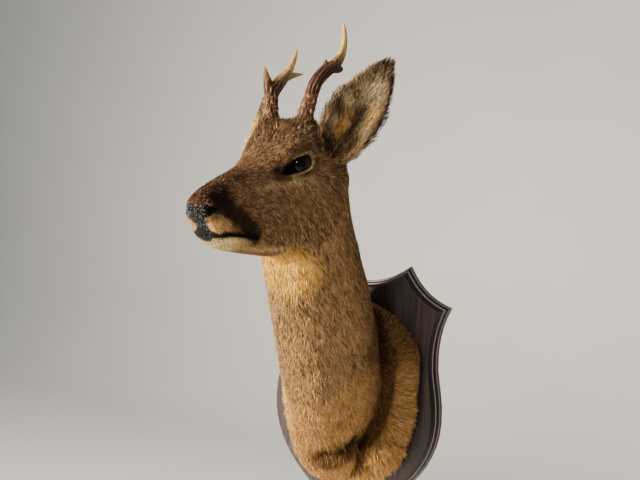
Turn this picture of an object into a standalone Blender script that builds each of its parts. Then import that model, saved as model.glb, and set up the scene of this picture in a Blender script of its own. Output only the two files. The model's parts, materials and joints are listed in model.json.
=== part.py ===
"""A roe deer shoulder mount on a moulded wooden shield, at life size, as it hangs on a wall.

Units are metres. +Z is up, the wall is behind the shield at Y = 0, and the deer looks towards -Y.
X is the deer's left. The origin is the centre of the shield's back face.
"""

from math import cos, pi, radians, sin

import bmesh
import bpy
import numpy as np
from mathutils import Matrix, Vector

CM = 0.01
GAP = 0.0003

# Shield
BOARD_THICK = 0.020
BOARD_TOP_CENTRE = 0.1492
BOARD_HORN = (0.0735, 0.1762)
BOARD_SCOOP = (0.0960, 0.1342)
BOARD_CORNER = (0.1385, 0.1222)
BOARD_WAIST = (0.1240, 0.0529)
BOARD_BULGE = (0.1360, -0.0423)
BOARD_POINT = -0.2075

# The shield's moulded edge, from the back: how far it is set in, and how far it stands out
BOARD_MOULDING = (
    (0.0000, 0.0000),
    (0.0000, 0.0048),
    (0.0010, 0.0057),
    (0.0022, 0.0057),
    (0.0026, 0.0090),
    (0.0042, 0.0118),
    (0.0058, 0.0124),
    (0.0066, 0.0160),
    (0.0094, 0.0192),
    (0.0102, BOARD_THICK),
)

# Head: the point midway between the eyes, and how far the head turns to the deer's right
EYE_MIDPOINT = Vector((-0.016, -0.266, 0.295))
HEAD_TURN = radians(-8.2)
EYE_RADIUS = 0.0142
EYE_CENTRE = (3.55, 1.00, -0.22)
GAZE = Vector((0.86, -0.50, 0.05)).normalized()

# The flesh round each eye: half sizes from front to back, up and down, and out, and how far ahead of the eye it sits
ORBIT_SIZE = (0.0270, 0.0225, 0.0080)
ORBIT_AHEAD = 0.0025

# Half lengths and half heights of the opening between the lids
LID_REAR, LID_FRONT = 0.0145, 0.0300
LID_RISE, LID_DROP = 0.0114, 0.0094
LID_SHALLOW = 0.0045
LID_STANDS_OFF = 1.03
LID_UPPER, LID_LOWER = 0.0026, 0.0019
# How much higher the opening's rear corner is than its front one, and how far its height shrinks to the front
LID_SLOPE_REAR, LID_SLOPE_FRONT, LID_TAPER = 0.0040, 0.0115, 0.15
# The stretch of each ring, as shares of its front half, over which it settles onto the head's surface
LID_SETTLES = (0.00, 0.45)
# The wet hollow at each eye's front corner, and how far it lies ahead of the eye and below it
CORNER_SIZE = (0.0075, 0.0030, 0.0022)
CORNER_AHEAD, CORNER_DROP = 0.0210, 0.0080

# Head sections in centimetres, nose to nape, in the head's own frame, where the nose is towards -Y:
# top (y, z), bottom (y, z), then half width and share of the height for the brow, eye, lip and jaw lines
HEAD_SECTIONS = (
    ((-11.95, -5.75), (-9.60, -9.70), (0.95, 0.05), (1.65, 0.30), (1.85, 0.72), (0.80, 0.93)),
    ((-11.50, -4.80), (-9.25, -10.20), (1.35, 0.07), (2.05, 0.38), (2.15, 0.75), (1.15, 0.93)),
    ((-10.20, -3.80), (-8.50, -10.55), (1.45, 0.08), (2.20, 0.45), (2.30, 0.78), (1.40, 0.94)),
    ((-8.40, -2.75), (-7.30, -10.75), (1.55, 0.09), (2.35, 0.50), (2.55, 0.80), (1.70, 0.95)),
    ((-6.40, -1.75), (-5.60, -10.90), (1.80, 0.09), (2.75, 0.48), (3.00, 0.78), (2.10, 0.95)),
    ((-4.40, -0.65), (-3.20, -11.05), (2.25, 0.09), (3.35, 0.42), (3.45, 0.74), (2.40, 0.95)),
    ((-2.20, 0.95), (-1.00, -11.20), (2.95, 0.07), (3.85, 0.34), (4.00, 0.68), (2.70, 0.94)),
    ((0.00, 3.00), (1.00, -11.25), (3.85, 0.03), (4.20, 0.28), (4.45, 0.60), (2.90, 0.93)),
    ((1.90, 4.60), (2.90, -11.00), (4.20, 0.05), (4.75, 0.34), (4.75, 0.64), (2.90, 0.93)),
    ((4.20, 5.20), (4.60, -10.20), (4.00, 0.08), (5.30, 0.40), (4.75, 0.68), (2.80, 0.93)),
    ((6.30, 4.50), (6.20, -8.60), (3.50, 0.11), (5.80, 0.38), (4.70, 0.70), (2.70, 0.93)),
    ((8.60, 2.80), (8.00, -6.20), (3.20, 0.14), (5.90, 0.40), (4.20, 0.75), (2.30, 0.93)),
    ((10.20, 0.60), (9.20, -3.80), (2.80, 0.18), (5.00, 0.42), (3.40, 0.75), (1.70, 0.90)),
)

# Nose pad and nostrils in the head's frame, and the two lips: how far below the mouth's line, and how thick
NOSE_PAD_AT = (0.0, -11.05, -6.50)
NOSE_PAD_SIZE = (2.10, 0.95, 1.25)
NOSTRIL_AT = (1.85, -11.30, -6.40)
NOSTRIL_SIZE = (0.0040, 0.0095, 0.0058)
MOUTH_GROOVE = 0.0016
LIPS = ((-0.0042, 0.0042), (0.0042, 0.0038))

# Neck sections in centimetres, head to shield: nape (y, z), throat (y, z), half width and sideways place
NECK_SECTIONS = (
    ((-19.8, 33.2), (-26.6, 20.4), 4.9, -0.8),
    ((-16.4, 31.6), (-25.0, 17.6), 6.0, -0.6),
    ((-14.1, 27.2), (-23.4, 13.8), 5.7, -0.4),
    ((-11.0, 22.4), (-21.6, 9.6), 5.9, -0.3),
    ((-8.3, 18.3), (-19.5, 5.0), 6.2, -0.2),
    ((-6.3, 15.0), (-17.0, -0.6), 6.4, -0.1),
    ((-4.6, 12.4), (-14.0, -5.4), 6.4, 0.0),
    ((-3.2, 11.0), (-9.8, -8.6), 6.0, 0.0),
    ((-2.2, 10.4), (-2.2, -9.8), 5.8, 0.0),
)

# Cape round the foot of the neck, in centimetres: its rim seen from the front, from the top clockwise
CAPE_CENTRE = (0.0, -0.5)
CAPE_RIM = ((0.0, 12.6), (4.0, 11.9), (8.0, 9.6), (10.9, 5.7), (10.7, -0.8), (8.9, -8.2), (5.2, -12.6), (0.0, -14.0))
# The cape's profile from the back outwards and in: share of the rim's distance, and height off the wall
CAPE_PROFILE = (
    (0.93, 1.9),
    (0.97, 2.6),
    (1.00, 3.5),
    (0.97, 4.7),
    (0.87, 5.4),
    (0.76, 5.3),
    (0.64, 4.6),
    (0.50, 4.8),
    (0.30, 5.6),
)

# Chest: the soft bulge low on the deer's right, in centimetres
CHEST_AT = (-1.1, -8.3, -6.6)
CHEST_SIZE = (5.0, 4.0, 7.9)
CHEST_SLOPE = (0, 0.40, -0.92)

# Ears in centimetres, in the head's frame: root, reach to the tip, and the way the cup opens
EAR_LENGTH_STATIONS = (0.0, 0.10, 0.25, 0.45, 0.65, 0.82, 0.93, 1.0)
EAR_WIDTHS = (1.3, 2.2, 3.05, 3.35, 2.75, 1.87, 1.21, 0.50)
EAR_CURLS = (145, 116, 86, 65, 50, 41, 35, 30)
EAR_THICK = 0.0045
EAR_ROOT_SIZE = (0.0138, 0.0145, 0.0230)
EAR_ROOT_RISE = 0.004
# The swelling under each ear, behind and above its root in centimetres
EAR_BASE_BACK, EAR_BASE_UP = 0.2, -1.6
EAR_BASE_SIZE = (0.0260, 0.0310, 0.0310)
# root_back and root_out are how far the root swelling lies behind the cup and outwards, in metres;
# base_in is how far inwards the swelling under the ear lies, in centimetres
EAR_LEFT = dict(root=(4.8, 5.7, 1.2), reach=(6.1, 1.6, 11.7), opens=(0.50, -0.84, 0.10), bend=0.5,
                root_back=0.0168, root_out=0.005, base_in=1.3)
EAR_RIGHT = dict(root=(-3.8, 5.2, 0.2), reach=(-7.4, 4.4, 9.3), opens=(-0.45, -0.88, 0.06), bend=0.4,
                 root_back=0.0120, root_out=0.001, base_in=1.9)

# Antlers in centimetres, in the head's frame: points (x, y, z) with the radius there
ANTLER_LEFT_BEAM = (
    (2.40, 2.6, 3.6, 1.12),
    (2.50, 2.6, 4.9, 1.10),
    (2.75, 2.8, 6.9, 0.92),
    (3.00, 3.05, 8.6, 0.82),
    (3.25, 3.55, 10.2, 0.84),
    (3.60, 4.9, 11.7, 0.86),
    (3.85, 6.1, 12.6, 0.74),
    (4.05, 7.05, 13.9, 0.54),
    (4.15, 7.35, 15.4, 0.41),
    (4.15, 7.25, 16.9, 0.27),
    (4.05, 6.95, 18.0, 0.08),
)
ANTLER_LEFT_KNOB = ((3.45, 4.6, 11.1, 0.66), (3.45, 4.75, 12.1, 0.44), (3.45, 4.8, 13.0, 0.10))
ANTLER_LEFT_HEEL = ((3.80, 6.0, 12.3, 0.68), (3.95, 6.8, 12.3, 0.52), (4.00, 7.4, 12.4, 0.28))
ANTLER_RIGHT_BEAM = (
    (-2.40, 2.6, 3.6, 1.10),
    (-2.50, 2.6, 4.9, 1.08),
    (-2.80, 2.5, 6.9, 0.94),
    (-3.00, 2.7, 8.8, 0.88),
    (-3.20, 4.1, 10.3, 0.84),
    (-3.45, 5.8, 11.8, 0.66),
    (-3.60, 6.9, 13.2, 0.46),
    (-3.65, 7.6, 14.6, 0.28),
    (-3.70, 7.9, 15.7, 0.08),
)
ANTLER_RIGHT_FRONT = (
    (-2.95, 2.6, 8.3, 0.80),
    (-3.15, 2.15, 9.8, 0.60),
    (-3.35, 1.85, 10.9, 0.36),
    (-3.55, 1.70, 11.9, 0.08),
)
ANTLER_RIGHT_REAR = ((-3.45, 5.8, 11.5, 0.54), (-3.55, 7.6, 12.2, 0.34), (-3.60, 9.4, 12.7, 0.08))
ANTLER_SEAT_SIZE = (0.0160, 0.0160, 0.0100)
PEARLS_PER_BEAM = 38
PEARL_RADIUS = 0.0018
PEARL_STRETCH = 2.1

COLOURS = {
    "coat": ((0.36, 0.22, 0.11), 0.9),
    "throat": ((0.62, 0.43, 0.20), 0.9),
    "ear": ((0.30, 0.20, 0.12), 0.9),
    "glass_eye": ((0.015, 0.010, 0.008), 0.08),
    "antler": ((0.28, 0.15, 0.08), 0.6),
    "antler_tip": ((0.66, 0.50, 0.28), 0.4),
    "stained_wood": ((0.045, 0.022, 0.016), 0.35),
}


def clear_scene():
    for obj in list(bpy.data.objects):
        bpy.data.objects.remove(obj)


def new_collection(name, hidden=False):
    collection = bpy.data.collections.new(name)
    bpy.context.scene.collection.children.link(collection)
    collection.hide_render = hidden
    return collection


def material(name):
    colour, roughness = COLOURS[name]
    found = bpy.data.materials.get(name)
    if found:
        return found
    made = bpy.data.materials.new(name)
    made.use_nodes = True
    shader = made.node_tree.nodes["Principled BSDF"]
    shader.inputs["Base Color"].default_value = (*colour, 1)
    shader.inputs["Roughness"].default_value = roughness
    shader.inputs["Metallic"].default_value = 0.0
    return made


def smooth_path(values, steps):
    """A Catmull-Rom curve through the rows of values, with steps samples for each span."""
    rows = np.array(values, float)
    before = 2 * rows[0] - rows[1]
    after = 2 * rows[-1] - rows[-2]
    full = np.vstack([before, rows, after])
    out = []
    for i in range(1, len(full) - 2):
        p0, p1, p2, p3 = full[i - 1 : i + 3]
        for t in np.arange(steps) / steps:
            out.append(
                0.5 * (2 * p1 + (p2 - p0) * t + (2 * p0 - 5 * p1 + 4 * p2 - p3) * t**2 + (3 * p1 - p0 - 3 * p2 + p3) * t**3)
            )
    out.append(rows[-1])
    return np.array(out)


def closed_path(values, steps):
    """The same curve through rows that run round and meet."""
    rows = np.array(values, float)
    full = np.vstack([rows[-1], rows, rows[0], rows[1]])
    out = []
    for i in range(1, len(full) - 2):
        p0, p1, p2, p3 = full[i - 1 : i + 3]
        for t in np.arange(steps) / steps:
            out.append(
                0.5 * (2 * p1 + (p2 - p0) * t + (2 * p0 - 5 * p1 + 4 * p2 - p3) * t**2 + (3 * p1 - p0 - 3 * p2 + p3) * t**3)
            )
    return np.array(out)


def link(obj, collection):
    collection.objects.link(obj)
    return obj


def loft(name, rings, collection):
    """One closed mesh through rings of points, with a cap at each end."""
    mesh = bpy.data.meshes.new(name)
    bm = bmesh.new()
    loops = [[bm.verts.new(p) for p in ring] for ring in rings]
    count = len(loops[0])
    for near, far in zip(loops, loops[1:]):
        for i in range(count):
            j = (i + 1) % count
            bm.faces.new((near[i], near[j], far[j], far[i]))
    bm.faces.new(list(reversed(loops[0])))
    bm.faces.new(loops[-1])
    bmesh.ops.recalc_face_normals(bm, faces=bm.faces)
    bm.to_mesh(mesh)
    bm.free()
    return link(bpy.data.objects.new(name, mesh), collection)


def sweep_rings(points, radii, sides, flutes=0, flute_depth=0.0):
    """Round rings along a path, turned as little as possible, with optional lengthwise furrows."""
    points = [Vector(p) for p in points]
    rings = []
    side = None
    for i, point in enumerate(points):
        along = (points[min(i + 1, len(points) - 1)] - points[max(i - 1, 0)]).normalized()
        if side is None:
            side = along.orthogonal().normalized()
        side = (side - along * side.dot(along)).normalized()
        across = along.cross(side)
        ring = []
        for k in range(sides):
            turn = 2 * pi * k / sides
            radius = radii[i] * (1 - flute_depth * (0.5 + 0.5 * cos(flutes * turn + 0.35 * i)))
            ring.append(point + (side * cos(turn) + across * sin(turn)) * radius)
        rings.append(ring)
    return rings


def apply_modifiers(obj):
    graph = bpy.context.evaluated_depsgraph_get()
    mesh = bpy.data.meshes.new_from_object(obj.evaluated_get(graph))
    obj.modifiers.clear()
    obj.data = mesh
    return obj


def boolean(obj, other, operation, solver="EXACT", keep=False):
    """Applies one Boolean with a mesh object, and removes that object unless it is kept."""
    modifier = obj.modifiers.new(operation.title(), "BOOLEAN")
    modifier.operation = operation
    modifier.object = other
    modifier.solver = solver
    bpy.context.view_layer.update()
    apply_modifiers(obj)
    if not keep:
        bpy.data.objects.remove(other)
    return obj


def join_all(obj, others, solver="EXACT"):
    """One union of obj with many closed meshes, which are then removed."""
    group = bpy.data.collections.new(obj.name + "_pieces")
    bpy.context.scene.collection.children.link(group)
    for other in others:
        for owner in list(other.users_collection):
            owner.objects.unlink(other)
        group.objects.link(other)
    modifier = obj.modifiers.new("Union", "BOOLEAN")
    modifier.operation = "UNION"
    modifier.operand_type = "COLLECTION"
    modifier.collection = group
    modifier.solver = solver
    bpy.context.view_layer.update()
    apply_modifiers(obj)
    for other in others:
        bpy.data.objects.remove(other)
    bpy.data.collections.remove(group)
    return obj


def largest_shell(obj):
    """Keeps the mesh's largest closed surface and drops any scrap."""
    bm = bmesh.new()
    bm.from_mesh(obj.data)
    bmesh.ops.remove_doubles(bm, verts=bm.verts, dist=1e-6)
    bm.faces.ensure_lookup_table()
    unseen = set(bm.faces)
    shells = []
    while unseen:
        stack = [unseen.pop()]
        shell = []
        while stack:
            face = stack.pop()
            shell.append(face)
            for edge in face.edges:
                for other in edge.link_faces:
                    if other in unseen:
                        unseen.discard(other)
                        stack.append(other)
        shells.append(shell)
    shells.sort(key=len)
    scraps = [face for shell in shells[:-1] for face in shell]
    bmesh.ops.delete(bm, geom=scraps, context="FACES")
    bm.to_mesh(obj.data)
    bm.free()
    return obj


def head_to_world():
    return Matrix.Translation(EYE_MIDPOINT) @ Matrix.Rotation(HEAD_TURN, 4, "Z")


def from_head(point):
    """A point in the head's frame, in centimetres, as a point of the mount."""
    return head_to_world() @ (Vector(point) * CM)


def turned(direction):
    return Matrix.Rotation(HEAD_TURN, 3, "Z") @ Vector(direction)


# Shield


def board_half_outline():
    """The right-hand edge of the shield seen from the front, from the top centre to the bottom point."""
    horn, scoop, corner = (np.array(p) for p in (BOARD_HORN, BOARD_SCOOP, BOARD_CORNER))
    waist, bulge = np.array(BOARD_WAIST), np.array(BOARD_BULGE)
    tip = np.array((0.0, BOARD_POINT))

    def bezier(points, steps):
        p0, p1, p2, p3 = (np.array(p) for p in points)
        return [
            (1 - t) ** 3 * p0 + 3 * (1 - t) ** 2 * t * p1 + 3 * (1 - t) * t**2 * p2 + t**3 * p3
            for t in np.arange(steps) / steps
        ]

    rise = horn[1] - BOARD_TOP_CENTRE
    top = [np.array((horn[0] * t, BOARD_TOP_CENTRE + rise * t**2.2)) for t in np.arange(6) / 6]
    scooped = [(1 - t) ** 2 * horn + 2 * (1 - t) * t * scoop + t**2 * corner for t in np.arange(7) / 7]
    drop = corner - waist
    upper = bezier((corner, waist + drop * (0.2, 0.65), waist + drop * (0, 0.3), waist), 5)
    fall = waist[1] - bulge[1]
    middle = bezier((waist, waist - (0, 0.4 * fall), bulge + (0, 0.45 * fall), bulge), 5)
    reach = bulge[1] - BOARD_POINT
    lower = bezier((bulge, bulge - (0, 0.52 * reach), (bulge[0] * 0.42, BOARD_POINT + 0.16 * reach), tip), 14)
    return top + scooped + upper + middle + lower + [tip]


def inset_outline(outline, distance):
    """The closed outline moved in by a distance, with its corners mitred."""
    points = np.array(outline)
    before = points - np.roll(points, 1, axis=0)
    after = np.roll(points, -1, axis=0) - points
    normals = []
    for edge in (before, after):
        length = np.linalg.norm(edge, axis=1, keepdims=True)
        normals.append(np.stack([-edge[:, 1], edge[:, 0]], axis=1) / length)
    bisector = normals[0] + normals[1]
    bisector /= np.linalg.norm(bisector, axis=1, keepdims=True)
    share = np.clip((bisector * normals[0]).sum(axis=1, keepdims=True), 0.35, 1)
    return points - bisector * distance / share


def make_board(collection):
    right = board_half_outline()
    left = [np.array((-x, z)) for x, z in reversed(right[1:-1])]
    outline = list(reversed(right + left))
    rings = []
    for inset, height in BOARD_MOULDING:
        moved = inset_outline(outline, -inset)
        rings.append([(x, -height, z) for x, z in moved])
    board = loft("board", rings, collection)
    board.data.materials.append(material("stained_wood"))
    return board


# Flesh: head, neck and cape, modelled whole and parted afterwards


def head_rings(steps_along=4, steps_round=4):
    rails = []
    for (y_top, z_top), (y_low, z_low), *lines in HEAD_SECTIONS:
        row = [(0, y_top, z_top)]
        for width, share in lines:
            row.append((width, y_top + (y_low - y_top) * share, z_top + (z_low - z_top) * share))
        row.append((0, y_low, z_low))
        row += [(-x, y, z) for x, y, z in reversed(row[1:-1])]
        rails.append(np.array(row).ravel())
    sections = smooth_path(rails, steps_along)
    return [closed_path(section.reshape(-1, 3), steps_round) for section in sections]


def make_head_form(collection):
    rings = [[from_head(p) for p in ring] for ring in head_rings()]
    return loft("head_form", rings, collection)


def make_neck_form(collection):
    rows = [(*nape, *throat, width, side) for nape, throat, width, side in NECK_SECTIONS]
    rings = []
    for nape_y, nape_z, throat_y, throat_z, width, side in smooth_path(rows, 4):
        centre = Vector((side, (nape_y + throat_y) / 2, (nape_z + throat_z) / 2))
        up = Vector((0, (nape_y - throat_y) / 2, (nape_z - throat_z) / 2))
        ring = []
        for k in range(40):
            turn = 2 * pi * k / 40
            lift = cos(turn)
            # The throat side is a little narrower than the nape
            spread = width * sin(turn) * (1 + 0.06 * lift)
            ring.append((centre + up * lift + Vector((spread, 0, 0))) * CM)
        rings.append(ring)
    return loft("neck_form", rings, collection)


def cape_rim(steps=6):
    """Points round the cape's rim relative to its centre, in centimetres."""
    half = [(x, z - CAPE_CENTRE[1]) for x, z in CAPE_RIM]
    other = [(-x, z) for x, z in reversed(half[1:-1])]
    return closed_path(half + other, steps)


def make_cape_form(collection):
    rim = cape_rim()
    rings = []
    for share, height in smooth_path(CAPE_PROFILE, 2):
        rings.append([(x * share * CM, -height * CM, (z * share + CAPE_CENTRE[1]) * CM) for x, z in rim])
    return loft("cape_form", rings, collection)


def make_ellipsoid(name, centre, radii, turn, collection, segments=24):
    mesh = bpy.data.meshes.new(name)
    bm = bmesh.new()
    bmesh.ops.create_uvsphere(bm, u_segments=segments, v_segments=segments // 2, radius=1)
    bm.transform(Matrix.Translation(centre) @ turn.to_4x4() @ Matrix.Diagonal((*radii, 1)))
    bm.to_mesh(mesh)
    bm.free()
    return link(bpy.data.objects.new(name, mesh), collection)


def aim(direction):
    """A turn that takes +Z to a direction."""
    return Vector((0, 0, 1)).rotation_difference(Vector(direction)).to_matrix()


def make_flesh(helpers):
    """Head, neck and cape fused into one smooth skin, and cut flat where it meets the shield."""
    pieces = [make_head_form(helpers), make_neck_form(helpers), make_cape_form(helpers)]
    for side in (1, -1):
        ear = EAR_LEFT if side > 0 else EAR_RIGHT
        reach = turned(ear["reach"]).normalized()
        opens = turned(ear["opens"])
        opens = (opens - reach * opens.dot(reach)).normalized()
        root = from_head(ear["root"]) + reach * EAR_ROOT_RISE - opens * ear["root_back"]
        root += reach.cross(opens) * side * ear["root_out"]
        pieces.append(make_ellipsoid("ear_root", root, EAR_ROOT_SIZE, aim(reach), helpers))
        inwards = -side * ear["base_in"]
        base = from_head(Vector(ear["root"]) + Vector((inwards, EAR_BASE_BACK, EAR_BASE_UP)))
        pieces.append(make_ellipsoid("ear_base", base, EAR_BASE_SIZE, Matrix.Identity(3), helpers))
        seat = from_head((side * 2.5, 2.7, 4.3))
        pieces.append(make_ellipsoid("antler_seat", seat, ANTLER_SEAT_SIZE, Matrix.Identity(3), helpers))
        pieces.append(make_orbit(side, helpers))
    slope = aim(CHEST_SLOPE)
    pieces.append(make_ellipsoid("chest", Vector(CHEST_AT) * CM, Vector(CHEST_SIZE) * CM, slope, helpers))
    ahead = Matrix.Rotation(HEAD_TURN, 3, "Z")
    pieces.append(make_ellipsoid("nose_pad", from_head(NOSE_PAD_AT), Vector(NOSE_PAD_SIZE) * CM, ahead, helpers))
    for drop, radius in LIPS:
        path = [point - Vector((0, 0, drop)) for point in mouth_path()]
        swell = [radius * (0.45 + 0.55 * sin(pi * k / (len(path) - 1)) ** 0.5) for k in range(len(path))]
        pieces.append(tube("lip", path, swell, 8, helpers))
    flesh = pieces[0]
    join_all(flesh, pieces[1:])
    flesh.name = "flesh"
    remesh = flesh.modifiers.new("Skin", "REMESH")
    remesh.mode = "VOXEL"
    remesh.voxel_size = 0.0028
    relax = flesh.modifiers.new("Relax", "SMOOTH")
    relax.factor = 0.5
    relax.iterations = 12
    apply_modifiers(flesh)
    return flesh


def box(name, low, high, collection):
    low, high = Vector(low), Vector(high)
    mesh = bpy.data.meshes.new(name)
    bm = bmesh.new()
    bmesh.ops.create_cube(bm, size=1)
    bm.transform(Matrix.Translation((low + high) / 2) @ Matrix.Diagonal((*(high - low), 1)))
    bm.to_mesh(mesh)
    bm.free()
    return link(bpy.data.objects.new(name, mesh), collection)


def duplicate(obj, name, collection):
    return link(bpy.data.objects.new(name, obj.data.copy()), collection)


def swollen(obj, distance, collection):
    """A copy moved out along its normals, for cutting a neighbour with a gap."""
    copy = duplicate(obj, obj.name + "_swollen", collection)
    bm = bmesh.new()
    bm.from_mesh(copy.data)
    bm.normal_update()
    moves = [vertex.normal.copy() for vertex in bm.verts]
    for vertex, normal in zip(bm.verts, moves):
        vertex.co += normal * distance
    bm.to_mesh(copy.data)
    bm.free()
    return copy


def keep_beyond(obj, point, normal, helpers):
    """Cuts away what lies behind a plane: the cutter is a large box on that side."""
    normal = Vector(normal).normalized()
    cutter = box("half_space", (-0.6, -0.6, -1.2), (0.6, 0.6, 0), helpers)
    cutter.matrix_world = Matrix.Translation(point) @ aim(normal).to_4x4()
    bpy.context.view_layer.update()
    return boolean(obj, cutter, "DIFFERENCE", "MANIFOLD")


def section_plane(index):
    """A point and a normal, towards the head, of the plane of a neck section."""
    (nape_y, nape_z), (throat_y, throat_z), _, side = NECK_SECTIONS[index]
    nape, throat = Vector((side, nape_y, nape_z)) * CM, Vector((side, throat_y, throat_z)) * CM
    along = Vector((1, 0, 0)).cross(nape - throat).normalized()
    return (nape + throat) / 2, along


def part_flesh(flesh, collection, helpers):
    """Head, neck and cape as three nodes with thin gaps, each with few enough faces."""
    back = box("wall_side", (-0.3, -BOARD_THICK - GAP, -0.3), (0.3, 0.1, 0.6), helpers)
    boolean(flesh, back, "DIFFERENCE", "MANIFOLD")
    nodes = []
    head_at, head_way = section_plane(1)
    cape_at, cape_way = section_plane(5)
    cuts = {
        "head": ((head_at + head_way * GAP / 2, head_way),),
        "neck": ((head_at - head_way * GAP / 2, -head_way), (cape_at + cape_way * GAP / 2, cape_way)),
        "shoulder_cape": ((cape_at - cape_way * GAP / 2, -cape_way),),
    }
    faces = {"head": 3400, "neck": 900, "shoulder_cape": 1700}
    for name, planes in cuts.items():
        node = duplicate(flesh, name, collection)
        for point, normal in planes:
            keep_beyond(node, point, normal, helpers)
        largest_shell(node)
        fewer = node.modifiers.new("Fewer", "DECIMATE")
        triangles = sum(len(face.vertices) - 2 for face in node.data.polygons)
        fewer.ratio = min(1.0, faces[name] / triangles)
        apply_modifiers(node)
        node.data.materials.clear()
        node.data.materials.append(material("throat" if name == "neck" else "coat"))
        nodes.append(node)
    bpy.data.objects.remove(flesh)
    return nodes


# Eyes and the face's finer forms


def eye_centre(side):
    x, y, z = EYE_CENTRE
    return from_head((side * x, y, z))


def gaze(side):
    return turned((side * GAZE.x, GAZE.y, GAZE.z))


def make_eye(side, collection):
    name = "eye_left" if side > 0 else "eye_right"
    eye = make_ellipsoid(name, eye_centre(side), (EYE_RADIUS,) * 3, aim(gaze(side)), collection, segments=18)
    eye.data.materials.append(material("glass_eye"))
    return eye


def eye_axes(side):
    """Three directions at an eye: towards its rear corner, up, and out along its gaze."""
    out = gaze(side)
    back = turned((side * 0.30, 0.95, 0.10))
    back = (back - out * back.dot(out)).normalized()
    up = out.cross(back) * side
    return back, up, out


def make_orbit(side, helpers):
    back, up, out = eye_axes(side)
    axes = Matrix((back, up, back.cross(up))).transposed()
    return make_ellipsoid("orbit", eye_centre(side) - back * ORBIT_AHEAD, ORBIT_SIZE, axes, helpers)


def smooth_share(value, low, high):
    """0 up to low, 1 from high, smooth between."""
    t = min(1.0, max(0.0, (value - low) / (high - low)))
    return t * t * (3 - 2 * t)


def lid_ring(side, head):
    """The lids' edge: an almond on the eyeball, its inner corner low and drawn out over the head's front."""
    centre = eye_centre(side)
    back, up, out = eye_axes(side)
    points = []
    for k in range(28):
        turn = 2 * pi * k / 28
        width = LID_REAR if cos(turn) > 0 else LID_FRONT
        height = LID_RISE if sin(turn) > 0 else LID_DROP
        along = back * (width * cos(turn))
        slope = (LID_SLOPE_REAR if cos(turn) > 0 else LID_SLOPE_FRONT) * cos(turn)
        lift = up * (height * sin(turn) * (1 - LID_TAPER * max(0, -cos(turn))) + slope)
        flat = along + lift
        depth = max(0.0, (EYE_RADIUS * LID_STANDS_OFF) ** 2 - flat.length_squared) ** 0.5
        point = centre + flat + out * max(depth, LID_SHALLOW)
        if cos(turn) < 0:
            point = point.lerp(nearest_on(head, point), smooth_share(-cos(turn), *LID_SETTLES))
        points.append(point)
    return points


def tube(name, points, radii, sides, collection, closed=False, flutes=0, flute_depth=0.0):
    if not closed:
        return loft(name, sweep_rings(points, radii, sides, flutes, flute_depth), collection)
    points = [Vector(p) for p in points]
    centre = sum(points, Vector()) / len(points)
    rings = []
    for i, point in enumerate(points):
        along = (points[(i + 1) % len(points)] - points[i - 1]).normalized()
        out = (point - centre) - along * (point - centre).dot(along)
        out.normalize()
        across = along.cross(out)
        rings.append(
            [point + (out * cos(2 * pi * k / sides) + across * sin(2 * pi * k / sides)) * radii[i] for k in range(sides)]
        )
    mesh = bpy.data.meshes.new(name)
    bm = bmesh.new()
    loops = [[bm.verts.new(p) for p in ring] for ring in rings]
    for near, far in zip(loops, loops[1:] + loops[:1]):
        for k in range(sides):
            j = (k + 1) % sides
            bm.faces.new((near[k], near[j], far[j], far[k]))
    bmesh.ops.recalc_face_normals(bm, faces=bm.faces)
    bm.to_mesh(mesh)
    bm.free()
    return link(bpy.data.objects.new(name, mesh), collection)


def mouth_path():
    """The mouth's line round the muzzle, corner to corner, just inside its surface."""
    half = ((3.10, -5.0, -9.00), (2.75, -6.6, -8.95), (2.40, -7.9, -8.90), (1.95, -8.9, -8.87), (1.15, -9.65, -8.90))
    front = ((0.0, -10.05, -9.00),)
    rows = half + front + tuple((-x, y, z) for x, y, z in reversed(half))
    return [from_head(p) for p in smooth_path(rows, 3)]


def nearest_on(obj, point):
    """The point of a mesh object's surface that lies closest to a point."""
    return obj.closest_point_on_mesh(point)[1]


def finish_head(head, helpers):
    """Lids round each eye, then sockets, nostrils and the mouth's line cut in."""
    lids = []
    for side in (1, -1):
        ring = lid_ring(side, head)
        radii = [LID_UPPER if 0 < k < len(ring) / 2 else LID_LOWER for k in range(len(ring))]
        lids.append(tube("lid", ring, radii, 8, helpers, closed=True))
    join_all(head, lids)
    for side in (1, -1):
        socket = make_ellipsoid("socket", eye_centre(side), (EYE_RADIUS + GAP,) * 3, aim(gaze(side)), helpers, 18)
        boolean(head, socket, "DIFFERENCE")
        back, up, out = eye_axes(side)
        corner = nearest_on(head, eye_centre(side) - back * CORNER_AHEAD - up * CORNER_DROP + out * EYE_RADIUS)
        axes = Matrix((back, up, back.cross(up))).transposed()
        hollow = make_ellipsoid("corner", corner, CORNER_SIZE, axes, helpers, 12)
        boolean(head, hollow, "DIFFERENCE")
        x, y, z = NOSTRIL_AT
        turn = Matrix.Rotation(HEAD_TURN + side * radians(32), 3, "Z") @ Matrix.Rotation(radians(20), 3, "X")
        place = nearest_on(head, from_head((side * x, y, z)))
        nostril = make_ellipsoid("nostril", place, NOSTRIL_SIZE, turn, helpers, 12)
        boolean(head, nostril, "DIFFERENCE")
    mouth = [nearest_on(head, point) for point in mouth_path()]
    boolean(head, tube("mouth", mouth, [MOUTH_GROOVE] * len(mouth), 6, helpers), "DIFFERENCE")
    return largest_shell(head)


# Ears


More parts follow.
